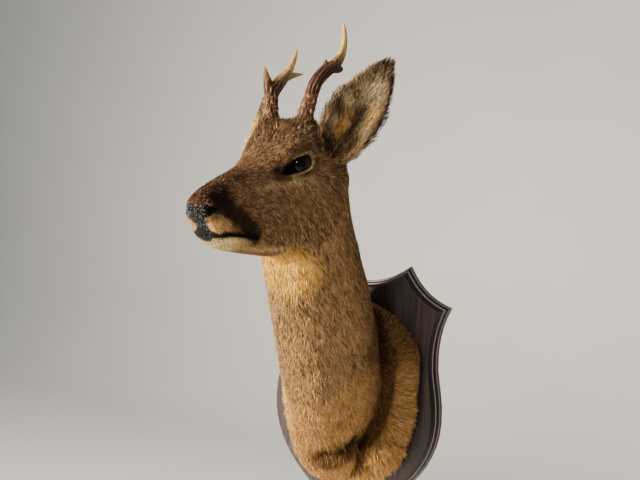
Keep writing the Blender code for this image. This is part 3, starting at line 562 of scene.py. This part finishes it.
    # Painted shade in the crease above the brow
    colour = blend(colour, DARK, lines.near("brow_crease", points, 0.2) * 0.3)
    corner = 1 - smoothstep(-1.6, -1.1, fields.lid_along)
    corner *= smoothstep(-0.3, 0.2, fields.lid_lift)
    colour = blend(colour, BLACK, 1 - smoothstep(0.86 + 0.2 * corner, 0.97 + 0.27 * corner, opening))
    colour = blend(colour, BLACK, 1 - smoothstep(1.44, 1.52, to_eye))
    gape = 0.36 + 0.14 * smoothstep(-8.6, -9.3, y)
    colour = blend(colour, BLACK, smoothstep(0.2, 0.6, lines.near("mouth", points, gape)))
    pad = blob(q, (0.55, -11.5, -6.6), (1.85, 1.8, 0.98))
    reach = 1.10 + 0.3 * smoothstep(-8.0, -7.3, z) + 0.4 * smoothstep(-8.3, -8.9, z)
    wet = np.maximum(pad, 1.1 * lines.near("philtrum", points, reach))
    wet = np.maximum(wet, lines.near("nostril", points, 0.5))
    wet = smoothstep(0.35, 0.6, wet) * smoothstep(-8.9, -9.4, y)
    colour = blend(colour, BLACK, wet)
    hairless = 1 - smoothstep(1.4, 1.9, opening)
    grizzle = 0.75 - 0.5 * cape - 0.4 * throat - 0.75 * band - 0.6 * chin - hairless
    grizzle = np.clip(grizzle, 0, 1)
    return np.column_stack([colour, grizzle]), wet


# Coat


def lie_of_coat(fields):
    """Which way the hair points at each vertex, along the surface."""
    points = fields.points
    neck, cape = fields.region.T[1:3]
    away_from_nose = unit(points - from_head((0, -14, -4)))
    down_neck = np.tile(unit(np.array([0.0, 0.60, -0.80])), (len(points), 1))
    outward = points - np.array([0, 0, -0.5 * CM])
    outward[:, 1] = 0
    reach = np.linalg.norm(outward, axis=1)
    outward = unit(outward) + np.array([0, 0.35, 0])
    roll = smoothstep(0.055, 0.085, reach) * smoothstep(-0.085, -0.055, points[:, 1]) * cape
    chest = smoothstep(-0.02, -0.09, points[:, 2]) * cape
    q = fields.head
    sink = smoothstep(-7.0, 1.0, q[:, 1]) * smoothstep(0.8, -2.2, q[:, 2])
    away_from_nose[:, 2] -= 1.1 * sink
    lie = away_from_nose * fields.region[:, :1] + down_neck * (neck + cape)[:, None]
    lie = lie * (1 - roll)[:, None] + outward * (roll * 1.2)[:, None]
    lie[:, 2] -= chest * 0.3
    for name, share in fields.ear_shares():
        _, across, inside, axis = fields.ear_place(name)
        side = np.cross(axis, turned(EARS[name]["opens"]))
        ear = axis + side * (np.clip(across / 3, -1, 1) * inside * 0.7)[:, None]
        lie += ear * (share * 2)[:, None]
    lie -= fields.normals * np.sum(lie * fields.normals, axis=1, keepdims=True)
    return unit(spread(unit(lie), fields.edges, 3)), roll


def wave(points, size, seed):
    """A smooth wandering value from -1 to 1, with hills about size apart."""
    draw = np.random.default_rng(seed)
    total = np.zeros(len(points))
    for _ in range(4):
        way = unit(draw.normal(size=3)) * 2 * pi / (size * draw.uniform(0.7, 1.5))
        total += np.sin(points @ way + draw.uniform(0, 2 * pi))
    return total / 2.4


def coat_style(fields, lines, roll):
    """Length, width, density and stance of the tufts at each vertex."""
    points, q = fields.points, both_sides(fields.head)
    y, z = q[:, 1], q[:, 2]
    head, neck, cape = fields.region.T[:3]
    back = smoothstep(-8.5, 4.0, y)
    across, height = points[:, 0] / CM, points[:, 2] / CM
    trim = roll * np.maximum(smoothstep(-4.0, 2.0, height), 0.6 * smoothstep(1.5, -4.0, across))
    ragged = roll * smoothstep(-5.0, -9.0, height) * smoothstep(-1.0, 3.0, across)
    length = head * (4.2 + 4.6 * back) + neck * 13.5 + cape * (13 + 3.5 * roll - 9 * trim + 7 * ragged)
    width = head * (0.60 + 0.18 * back) + neck * 0.72 + cape * (0.78 + 0.5 * ragged)
    density = head * (130 - 30 * back) + neck * 84 + cape * (78 - 20 * ragged)
    lift = head * 16 + neck * 16 + cape * (20 + 16 * roll - 18 * trim + 8 * ragged)
    droop = head * 2 + neck * 3 + cape * (8 + 22 * roll - 16 * trim)
    for name, share in fields.ear_shares():
        up, across, inside, _ = fields.ear_place(name)
        rim = smoothstep(1.4, 3.0, np.abs(across)) * smoothstep(0.9, 0.5, up)
        length += share * (4.0 + inside * (4.5 + 6 * rim * (1 - smoothstep(0.3, 0.7, up))))
        width += share * (0.55 + 0.10 * inside)
        density += share * (104 - 26 * inside)
        lift += share * (10 + 14 * inside)
        droop += share * (2 + 10 * inside)
    chin = smoothstep(-8.9, -9.4, z) * smoothstep(-2, -5, y) * head
    length += 1.5 * chin
    crown = blob(q, (1.6, 2.2, 3.9), (3.4, 3.4, 2.4)) * head
    length += 6.0 * crown
    lift += 24 * crown
    droop += 18 * crown
    lift += 12 * blob(q, (0.4, -6.5, -2.6), (2.2, 5.0, 1.8)) * head
    nape = blob(q, (4.5, 6.6, -2.0), (2.4, 2.6, 3.0)) * np.clip(head + neck, 0, 1)
    length += 3.5 * nape
    lift += 10 * nape
    to_eye = np.linalg.norm(q - EYE_CENTRE, axis=1)
    close = 1 - smoothstep(1.7, 3.0, to_eye)
    length *= (1 - 0.6 * close) * (1 - 0.5 * lines.near("mouth", points, 1.0))
    width *= 1 - 0.3 * close
    lash = smoothstep(0.90, 0.97, fields.opening) * (1 - smoothstep(1.06, 1.12, fields.opening))
    lash *= smoothstep(0.25, 0.45, fields.lid_lift) * smoothstep(-0.9, -0.5, fields.lid_along)
    gape = 0.34 + 0.14 * smoothstep(-8.6, -9.3, y)
    bare = np.maximum.reduce([
        1 - smoothstep(1.54, 1.62, to_eye),
        1 - smoothstep(1.03, 1.09, fields.opening),
        smoothstep(0.4, 0.7, fields.wet),
        smoothstep(0.3, 0.6, lines.near("mouth", points, gape)),
        smoothstep(0.4, 0.7, lines.near("nostril", points, 0.5)),
        fields.on_board.astype(float),
    ])
    density *= 1 - bare
    length += (8.0 - length) * lash
    width += (0.45 - width) * lash
    density += 110 * lash
    lift += (48 - lift) * lash
    droop += (20 - droop) * lash
    return np.column_stack([length * MM, width * MM, density / CM**2, np.radians(lift), np.radians(droop)])


def scatter(skin, fields, columns):
    """Roots drawn over the skin by density, with every field read at them."""
    mesh = skin.data
    mesh.calc_loop_triangles()
    corners = read(mesh.loop_triangles, "vertices", 3, np.int32)
    loops = read(mesh.loop_triangles, "loops", 3, np.int32)
    uv = read(mesh.uv_layers["OFBake"].uv, "vector", 2)
    points = fields.points
    a, b, c = (points[corners[:, k]] for k in range(3))
    area = np.linalg.norm(np.cross(b - a, c - a), axis=1) / 2
    wanted = area * columns["style"][corners, 2].mean(axis=1)
    count = int(wanted.sum())
    chosen = np.sort(rng.choice(len(corners), count, p=wanted / wanted.sum()))
    share = rng.random((count, 2))
    flip = share.sum(axis=1) > 1
    share[flip] = 1 - share[flip]
    weights = np.column_stack([1 - share.sum(axis=1), share])
    roots = {"uv": np.einsum("nk,nkd->nd", weights, uv[loops[chosen]])}
    for name, values in columns.items():
        roots[name] = np.einsum("nk,nkd->nd", weights, values[corners[chosen]])
    return roots


# A tuft's triangles: root, the middle's two sides and ridge, tip
SPIKE = ((0, 2, 1), (0, 1, 3), (0, 3, 2), (4, 1, 2), (4, 3, 1), (4, 2, 3))
SPIKE_HEIGHTS = (0, 0.5, 0.5, 0.5, 1)
SPIKE_SPOTS = ((0, -1), (-1, 0), (1, 0), (0, 0.4), (0, 1))
BAKE_SPOT = 0.0015
CLUMP = 2.6
CLUMP_PULL = 0.55
SHORTEST_TUFT, LONGEST_TUFT = 0.0012, 0.03
ROOT_DEPTH = 0.0003


def leaders(points, reach):
    """For each root, the root that its clump leans towards; clumps are drawn out along the coat's lie."""
    count = len(points)
    chosen = rng.choice(count, max(1, int(count / CLUMP)), replace=False)
    tree = KDTree(len(chosen))
    for index in chosen.tolist():
        tree.insert(points[index], index)
    tree.balance()
    sought = points + reach * rng.uniform(-0.5, 0.5, (count, 1))
    return np.array([tree.find(point)[1] for point in sought.tolist()])


def make_tufts(name, roots):
    """Thin closed spikes as one mesh: a root, a middle and a tip that leans to its clump's."""
    count = len(roots["point"])
    length, width, _, lift, droop = (roots["style"][:, k][:, None] for k in range(5))
    normal = unit(roots["normal"])
    lie = unit(roots["lie"] - normal * np.sum(roots["lie"] * normal, axis=1, keepdims=True))
    side = np.cross(normal, lie)
    veer = 0.14 * rng.normal(size=(count, 1)) + 0.22 * wave(roots["point"], 0.014, 3)[:, None]
    lie = lie * np.cos(veer) + side * np.sin(veer)
    side = np.cross(normal, lie)
    uneven = 0.18 * rng.normal(size=(count, 1))
    length = length * (1 + uneven + 0.14 * wave(roots["point"], 0.02, 5)[:, None])
    length = np.clip(length, SHORTEST_TUFT, LONGEST_TUFT)
    width = width * rng.uniform(0.75, 1.3, (count, 1))
    lift = np.clip(lift * (1 + 0.25 * rng.normal(size=(count, 1))), 0.03, 1.2)
    droop = np.clip(droop + 0.35 * lift * rng.normal(size=(count, 1)), -0.15, 1.2)
    base = roots["point"] - normal * ROOT_DEPTH
    first = lie * np.cos(lift) + normal * np.sin(lift)
    last = lie * np.cos(droop) + normal * np.sin(droop)
    middle = base + first * length * 0.5
    tip = middle + last * length * 0.5
    leader = leaders(roots["point"], lie * length)
    lean = tip[leader] - tip
    far = np.maximum(np.linalg.norm(lean, axis=1, keepdims=True), 1e-6)
    tip += lean * np.minimum(CLUMP_PULL, 0.4 * length / far)
    half = side * width * 0.5
    corners = [base, middle - half, middle + half, middle + normal * width * 0.35, tip]
    per = len(corners)
    vertices = np.stack(corners, axis=1).reshape(-1, 3)
    triangles = (np.array(SPIKE)[None] + per * np.arange(count)[:, None, None]).reshape(-1, 3)
    mesh = bpy.data.meshes.new(name)
    mesh.vertices.add(len(vertices))
    mesh.vertices.foreach_set("co", vertices.astype(np.float32).ravel())
    mesh.loops.add(3 * len(triangles))
    mesh.loops.foreach_set("vertex_index", triangles.astype(np.int32).ravel())
    mesh.polygons.add(len(triangles))
    mesh.polygons.foreach_set("loop_start", np.arange(0, 3 * len(triangles), 3, dtype=np.int32))
    mesh.update(calc_edges=True)
    mesh.shade_smooth()
    uv = (roots["uv"][:, None] + np.array(SPIKE_SPOTS)[None] * BAKE_SPOT).reshape(-1, 2)
    layer = mesh.uv_layers.new(name="OFBake")
    layer.uv.foreach_set("vector", uv[triangles.ravel()].astype(np.float32).ravel())
    add_attribute(mesh, "marks_and_shade", np.repeat(roots["marks_and_shade"], per, axis=0))
    add_attribute(mesh, "tip", np.tile(SPIKE_HEIGHTS, count))
    tone = rng.random(count)
    add_attribute(mesh, "tone", np.repeat(0.45 * tone + 0.55 * tone[leader], per))
    obj = bpy.data.objects.new(name, mesh)
    bpy.context.scene.collection.objects.link(obj)
    return obj


PIECES = (("coat_head", 0), ("coat_neck", 1), ("coat_cape", 2), ("coat_ear_left", 3), ("coat_ear_right", 4))
MOST_TRIANGLES = 190000


def make_coat(skin, fields, columns):
    roots = scatter(skin, fields, columns)
    region = np.argmax(roots["region"], axis=1)
    pieces = []
    for name, index in PIECES:
        mine = np.flatnonzero(region == index)
        mine = mine[np.argsort(roots["point"][mine, 2])]
        parts = max(1, -(-len(mine) * len(SPIKE) // MOST_TRIANGLES))
        for number, part in enumerate(np.array_split(mine, parts)):
            title = name if parts == 1 else f"{name}_{number + 1}"
            pieces.append(make_tufts(title, {key: values[part] for key, values in roots.items()}))
    return pieces


# Eyes


def make_eye(side, name):
    centre = from_head((side * EYE_CENTRE[0], EYE_CENTRE[1], EYE_CENTRE[2]))
    bpy.ops.object.select_all(action="DESELECT")
    bpy.ops.mesh.primitive_uv_sphere_add(segments=64, ring_count=32, radius=EYE_RADIUS)
    eye = bpy.context.object
    eye.name = eye.data.name = name
    gaze = turned((side * GAZE[0], GAZE[1], GAZE[2]))
    turn = Vector((0, 0, 1)).rotation_difference(Vector(gaze)).to_matrix().to_4x4()
    points = points_of(eye.data)
    up = np.array((turn.to_3x3().inverted() @ Vector((0, 0, 1))))
    up[2] = 0
    up = unit(up)
    add_attribute(eye.data, "rear", points @ np.array([up[1], -up[0], 0]) * side / EYE_RADIUS)
    eye.data.transform(Matrix.Translation(centre) @ turn)
    shade_smooth(eye)
    return eye


# Antlers

# The middle of each main beam, in the head's frame
BEAMS = {
    "antler_left": ((2.4, 2.6, 3.6), (2.5, 2.6, 4.9), (2.75, 2.8, 6.9), (3.0, 3.05, 8.6),
                    (3.25, 3.55, 10.2), (3.6, 4.9, 11.7), (3.85, 6.1, 12.6), (4.05, 7.05, 13.9),
                    (4.15, 7.35, 15.4), (4.05, 6.95, 18.0)),
    "antler_right": ((-2.4, 2.6, 3.6), (-2.5, 2.6, 4.9), (-2.8, 2.5, 6.9), (-3.0, 2.7, 8.8),
                     (-3.2, 4.1, 10.3), (-3.45, 5.8, 11.8), (-3.6, 6.9, 13.2), (-3.65, 7.6, 14.6),
                     (-3.7, 7.9, 15.7)),
}
ANTLER_VOXEL = 0.0006
ANTLER_FOOT, ANTLER_RISE = 3.6, 14.4
# The right antler is polished from lower down
POLISH_SHIFT = {"antler_left": 0.0, "antler_right": 0.16}
PEARL_SEED = {"antler_left": 21, "antler_right": 22}
RIDGES = 11
# How many pearls, between which heights, and their least and greatest radius
BEAM_PEARLS = (240, 0.0, 0.34, 0.0005, 0.0011)
BURR_PEARLS = (70, -0.02, 0.09, 0.0012, 0.0019)


def make_antler(nodes, name):
    """An antler with long ridges, and with pearls round its burr and up its lower beam."""
    antler = fused_copy(nodes, ANTLERS[name], name)
    modify(antler, "REMESH", mode="VOXEL", voxel_size=ANTLER_VOXEL)
    modify(antler, "SMOOTH", factor=0.5, iterations=3)
    mesh = antler.data
    points, normals = points_of(mesh), normals_of(mesh)
    path = np.array([from_head(point) for point in BEAMS[name]])
    lengths = np.cumsum([0] + [np.linalg.norm(b - a) for a, b in zip(path[:-1], path[1:])])
    best, along, way = np.full(len(points), np.inf), np.zeros(len(points)), np.zeros_like(points)
    centre = np.zeros_like(points)
    for k, (start, end) in enumerate(zip(path[:-1], path[1:])):
        step = end - start
        share = np.clip((points - start) @ step / (step @ step), 0, 1)
        foot = start + share[:, None] * step
        far = np.linalg.norm(points - foot, axis=1)
        closer = far < best
        best[closer], along[closer] = far[closer], (lengths[k] + share * np.linalg.norm(step))[closer]
        way[closer], centre[closer] = unit(step), foot[closer]
    along /= lengths[-1]
    height = (to_head(points)[:, 2] - ANTLER_FOOT) / ANTLER_RISE
    spoke = unit(points - centre)
    front = unit(np.cross(way, np.array([1.0, 0.2, 0.0])))
    side = np.cross(way, front)
    angle = np.arctan2(np.sum(spoke * side, axis=1), np.sum(spoke * front, axis=1))
    wander = 0.35 * wave(points, 0.03, 11)
    ridge = np.cos(RIDGES * angle + 2.5 * wander + 0.9 * np.sin(along * 40))
    ridge = (1.4 * np.abs(ridge) ** 0.7 * np.sign(ridge) - 0.2) * (0.65 + 0.35 * wave(points, 0.01, 12))
    rough = smoothstep(0.62, 0.35, height)
    relief = ridge * (0.25 + 0.75 * rough)
    lift = relief * (0.00012 + 0.00062 * rough)
    draw = np.random.default_rng(PEARL_SEED[name])
    pearls = (BEAM_PEARLS, BURR_PEARLS)
    spots = np.concatenate([draw.choice(np.flatnonzero((height < high) & (height > low)), count)
                            for count, low, high, _, _ in pearls])
    sizes = np.concatenate([draw.uniform(least, most, count) for count, _, _, least, most in pearls])
    for spot, size in zip(spots, sizes):
        offset = points - points[spot]
        stretch = np.sum(offset * way[spot], axis=1)[:, None] * way[spot]
        far = np.linalg.norm(offset - 0.5 * stretch, axis=1) / size
        bump = np.exp(-far**2) * (1 - 0.6 * height[spot])
        lift = np.maximum(lift, bump * size * 0.8)
        relief = np.maximum(relief, bump * 1.6 - 0.3)
    set_points(mesh, points + normals * lift[:, None])
    add_attribute(mesh, "relief", np.clip(0.5 + 0.5 * relief, 0, 1))
    add_attribute(mesh, "height", height + POLISH_SHIFT[name])
    shade_smooth(antler)
    return antler


# Materials


class Value:
    """A number in a node tree. Sums and products of these add the Math nodes."""

    def __init__(self, shader, socket):
        self.shader, self.socket = shader, socket

    def math(self, operation, first, second=None):
        sockets = [first] if second is None else [first, second]
        return self.shader.node("ShaderNodeMath", {"operation": operation}, dict(enumerate(sockets)))

    def __add__(self, other):
        return self.math("ADD", self, other)

    def __radd__(self, other):
        return self.math("ADD", other, self)

    def __sub__(self, other):
        return self.math("SUBTRACT", self, other)

    def __rsub__(self, other):
        return self.math("SUBTRACT", other, self)

    def __mul__(self, other):
        return self.math("MULTIPLY", self, other)

    def __rmul__(self, other):
        return self.math("MULTIPLY", other, self)

    def step(self, low, high):
        """0 up to low, 1 from high, smooth between."""
        settings = {"interpolation_type": "SMOOTHSTEP"}
        inputs = {"Value": self, "From Min": low, "From Max": high}
        return self.shader.node("ShaderNodeMapRange", settings, inputs)


class Shader:
    """A material built from expressions."""

    def __init__(self, name, roughness, fixed):
        self.material = bpy.data.materials.new(name)
        self.material.use_nodes = True
        self.tree = self.material.node_tree
        self.surface = self.tree.nodes["Principled BSDF"]
        self.surface.inputs["Roughness"].default_value = roughness
        for key, value in fixed.items():
            self.surface.inputs[key].default_value = value

    def node(self, kind, settings, inputs, output=0):
        node = self.tree.nodes.new(kind)
        for key, value in settings.items():
            setattr(node, key, value)
        for key, value in inputs.items():
            if isinstance(value, Value):
                self.tree.links.new(value.socket, node.inputs[key])
            else:
                node.inputs[key].default_value = value
        return Value(self, node.outputs[output])

    def attribute(self, name, output="Fac"):
        return self.node("ShaderNodeAttribute", {"attribute_name": name}, {}, output)

    def place(self, scale=(1, 1, 1)):
        coordinates = self.node("ShaderNodeTexCoord", {}, {}, "Object")
        return self.node("ShaderNodeMapping", {}, {"Vector": coordinates, "Scale": scale})

    def noise(self, scale, detail=3.0, stretch=(1, 1, 1)):
        inputs = {"Vector": self.place(stretch), "Scale": scale, "Detail": detail}
        return self.node("ShaderNodeTexNoise", {}, inputs)

    def mix(self, share, first, second):
        inputs = {0: share}
        for key, value in ((6, first), (7, second)):
            inputs[key] = value if isinstance(value, Value) else (*linear(value), 1)
        return self.node("ShaderNodeMix", {"data_type": "RGBA"}, inputs, 2)

    def scaled(self, colour, share):
        """A colour made darker or lighter."""
        return self.node("ShaderNodeVectorMath", {"operation": "SCALE"}, {0: colour, "Scale": share})

    def bump(self, height, distance, strength=1.0):
        inputs = {"Height": height, "Distance": distance, "Strength": strength}
        return self.node("ShaderNodeBump", {}, inputs)

    def feed(self, sockets):
        for key, value in sockets.items():
            self.tree.links.new(value.socket, self.surface.inputs[key])
        return self.material


def coat_material(name, on_skin):
    """Hair, or the skin under it with its wet pebbled nose."""
    shader = Shader(name, 0.8, {"Specular IOR Level": 0.09})
    marks_and_shade = shader.attribute("marks_and_shade", "Color")
    grizzle = shader.attribute("marks_and_shade", "Alpha")
    mottle = shader.noise(38, 4.0)
    if on_skin:
        fine = shader.noise(900, 2.0)
        # The skin is drawn darker than its markings, painted shade in the gaps between tufts, with fine and
        # broad noise; the wet nose keeps its full colour
        shade = 0.30 + 0.35 * fine + 0.2 * mottle
        wet = shader.attribute("wet")
        dry = 1 - wet
        shade = shade * dry + wet
        colour = shader.scaled(marks_and_shade, shade)
        pebbles = shader.node("ShaderNodeTexVoronoi", {"feature": "SMOOTH_F1"},
                              {"Vector": shader.place(), "Scale": 430, "Smoothness": 0.25}, "Distance")
        height = wet * (1 - pebbles) + dry * fine * 0.6
        glint = wet * pebbles.step(0.36, 0.15) * (0.14 + 0.66 * mottle.step(0.42, 0.60))
        colour = shader.mix(glint, colour, GLINT)
        return shader.feed({"Base Color": colour, "Normal": shader.bump(height, 0.0026),
                            "Roughness": 0.85 - 0.5 * wet})
    tip, tone = shader.attribute("tip"), shader.attribute("tone")
    # Each tuft is darker towards its root, partly the hair's own darker base and partly painted shade deep
    # in the coat; its tone differs at random from clump to clump
    shade = (0.5 + 0.6 * tip) * (0.36 + 1.24 * tone) + 0.4 * mottle - 0.15
    colour = shader.scaled(marks_and_shade, shade)
    dark = grizzle * tone.step(0.40, 0.18) * 0.9
    colour = shader.mix(dark, colour, HAIR_DARK)
    pale = grizzle * tone.step(0.68, 0.86) * tip * 0.8
    colour = shader.mix(pale, colour, HAIR_PALE)
    return shader.feed({"Base Color": colour})


def antler_material():
    shader = Shader("antler_bone", 0.55, {"Specular IOR Level": 0.15})
    relief, height = shader.attribute("relief"), shader.attribute("height")
    grain = shader.noise(260, 4.0, (1, 1, 0.25))
    colour = shader.mix(relief.step(0.28, 0.80), ANTLER_HOLLOW, ANTLER_BROWN)
    colour = shader.mix(relief.step(0.80, 1.0) * 0.8, colour, ANTLER_RIDGE)
    polished = (height + 0.18 * grain).step(0.66, 0.98)
    colour = shader.mix(polished, colour, ANTLER_IVORY)
    colour = shader.mix(grain.step(0.60, 0.40) * 0.35, colour, ANTLER_GRIME)
    return shader.feed({"Base Color": colour, "Normal": shader.bump(grain, 0.0004, 0.6),
                        "Roughness": 0.65 - 0.25 * polished})


def eye_material():
    shader = Shader("eye_glass", 0.05, {"Specular IOR Level": 0.16})
    iris = shader.attribute("rear").step(-0.1, 0.8)
    return shader.feed({"Base Color": shader.mix(iris, PUPIL, IRIS)})


def wood_material():
    varnish = {"Specular IOR Level": 0.3, "Coat Weight": 0.1, "Coat Roughness": 0.3}
    shader = Shader("stained_wood", 0.4, varnish)
    grain = shader.noise(150, 6.0, (1, 1, 0.05))
    pores = shader.noise(420, 3.0, (1, 1, 0.05))
    colour = shader.mix(grain.step(0.35, 0.7), WOOD_DARK, WOOD_LIGHT)
    colour = shader.mix(pores.step(0.60, 0.72) * 0.6, colour, WOOD_PORE)
    # The moulding lies behind the flat face and is darkened as painted shade, with a painted highlight
    # along the fillet at each end of its curve
    depth = shader.node("ShaderNodeSeparateXYZ", {}, {"Vector": shader.place()}, "Y")
    colour = shader.mix(depth.step(-0.0199, -0.0190) * 0.9, colour, MOULDING_SHADE)
    outer = depth.step(-0.0062, -0.0059) * depth.step(-0.0053, -0.0056)
    inner = depth.step(-0.0128, -0.0125) * depth.step(-0.0117, -0.0121)
    colour = shader.mix((outer + inner) * 0.85, colour, FILLET_HIGHLIGHT)
    return shader.feed({"Base Color": colour, "Normal": shader.bump(pores, 0.0003, 0.4),
                        "Roughness": 0.34 + 0.14 * grain})


def dress(obj, material):
    obj.data.materials.clear()
    obj.data.materials.append(material)


# Stage

FLOOR_LEVEL = -0.75
FLOOR_FRONT, FLOOR_BACK, FLOOR_HALF_WIDTH = -6.0, 1.8, 6.0
COVE, COVE_STEPS = 0.9, 12
BACKDROP_TOP = 4.0


def make_stage():
    """A floor that curves up into a backdrop."""
    bpy.ops.object.select_all(action="DESELECT")
    bpy.ops.mesh.primitive_plane_add(size=1)
    floor = bpy.context.object
    floor.name = "floor"
    profile = [(FLOOR_FRONT, FLOOR_LEVEL)]
    for angle in np.linspace(0, pi / 2, COVE_STEPS + 1):
        profile.append((FLOOR_BACK + COVE * sin(angle), FLOOR_LEVEL + COVE * (1 - cos(angle))))
    profile.append((FLOOR_BACK + COVE, BACKDROP_TOP))
    bm = bmesh.new()
    rows = [[bm.verts.new((x, y, z)) for x in (-FLOOR_HALF_WIDTH, FLOOR_HALF_WIDTH)] for y, z in profile]
    for low, high in zip(rows[:-1], rows[1:]):
        bm.faces.new((low[0], low[1], high[1], high[0]))
    bm.to_mesh(floor.data)
    bm.free()
    shade_smooth(floor)
    shader = Shader("pale_floor", 0.9, {})
    dress(floor, shader.feed({"Base Color": shader.mix(shader.noise(2.0), FLOOR, FLOOR_MOTTLE)}))


def add_light(name, place, target, size, watts, colour):
    data = bpy.data.lights.new(name, "AREA")
    data.shape, data.size, data.energy, data.color = "DISK", size, watts, colour
    light = bpy.data.objects.new(name, data)
    light.location = place
    light.rotation_euler = (Vector(target) - Vector(place)).to_track_quat("-Z", "Y").to_euler()
    bpy.context.scene.collection.objects.link(light)
    return light


def make_lights():
    add_light("key", (-1.45, -1.66, 0.42), (0, -0.15, 0.1), 0.4, 195, (1.0, 0.91, 0.79))
    add_light("front", (0.05, -1.4, 0.68), (0, -0.2, 0.25), 0.2, 8, (1.0, 0.97, 0.92))
    fill = add_light("fill", (1.6, -1.2, 0.7), (0, -0.1, 0.1), 1.4, 3, (0.90, 0.94, 1.0))
    top = add_light("top", (0.2, 0.5, 1.9), (0, -0.05, 0.1), 1.2, 11, (1.0, 0.96, 0.9))
    for light in (fill, top):
        light.visible_glossy = False
    world = bpy.data.worlds.new("room")
    bpy.context.scene.world = world
    world.use_nodes = True
    world.node_tree.nodes["Background"].inputs["Color"].default_value = (0.9, 0.95, 1.0, 1)
    world.node_tree.nodes["Background"].inputs["Strength"].default_value = 0.25


def make_camera():
    azimuth, elevation, roll = CAMERA_AZIMUTH, CAMERA_ELEVATION, CAMERA_ROLL
    view = Vector((sin(azimuth) * cos(elevation), -cos(azimuth) * cos(elevation), sin(elevation)))
    right = Vector((cos(azimuth), sin(azimuth), 0))
    up = view.cross(right)
    rolled_right = right * cos(roll) + up * sin(roll)
    rolled_up = up * cos(roll) - right * sin(roll)
    data = bpy.data.cameras.new("camera")
    data.lens, data.sensor_width = CAMERA_LENS, 36
    camera = bpy.data.objects.new("camera", data)
    turn = Matrix((rolled_right, rolled_up, view)).transposed().to_4x4()
    camera.matrix_world = Matrix.Translation(CAMERA_AT) @ turn
    bpy.context.scene.collection.objects.link(camera)
    bpy.context.scene.camera = camera


# All of it


def unwrap(skin):
    choose(skin)
    mesh = skin.data
    for layer in list(mesh.uv_layers):
        mesh.uv_layers.remove(layer)
    mesh.uv_layers.new(name="OFBake")
    bpy.ops.object.mode_set(mode="EDIT")
    bpy.ops.mesh.select_all(action="SELECT")
    bpy.ops.uv.smart_project(angle_limit=radians(66), island_margin=0.002)
    bpy.ops.object.mode_set(mode="OBJECT")


def main():
    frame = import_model()
    nodes = frame["nodes"]
    lines = Lines(surface_tree(nodes["head"]), surface_tree(nodes["shoulder_cape"]))

    skin = make_skin(nodes)
    fields = Fields(skin, nodes)
    shape_skin(skin, fields, lines)
    unwrap(skin)
    marks_and_shade, fields.wet = paint(fields, lines)
    add_attribute(skin.data, "marks_and_shade", marks_and_shade)
    add_attribute(skin.data, "wet", fields.wet)
    lie, roll = lie_of_coat(fields)
    columns = {"point": fields.points, "normal": fields.normals, "lie": lie, "marks_and_shade": marks_and_shade,
               "region": fields.region, "style": coat_style(fields, lines, roll)}
    coat = make_coat(skin, fields, columns)
    shade_smooth(skin)
    dress(skin, coat_material("skin", True))
    fur = coat_material("fur", False)
    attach(skin, "root")
    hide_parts(*FLESH)
    for piece in coat:
        dress(piece, fur)
        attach(piece, "root")

    glass = eye_material()
    for side, name in ((1, "eye_left"), (-1, "eye_right")):
        eye = make_eye(side, "glass_" + name)
        dress(eye, glass)
        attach(eye, "root")
        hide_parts(name)
    bone = antler_material()
    for name, replaced in ANTLERS.items():
        antler = make_antler(nodes, name)
        dress(antler, bone)
        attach(antler, "root")
        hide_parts(*replaced)
    dress(nodes["board"], wood_material())

    make_stage()
    make_lights()
    make_camera()


main()
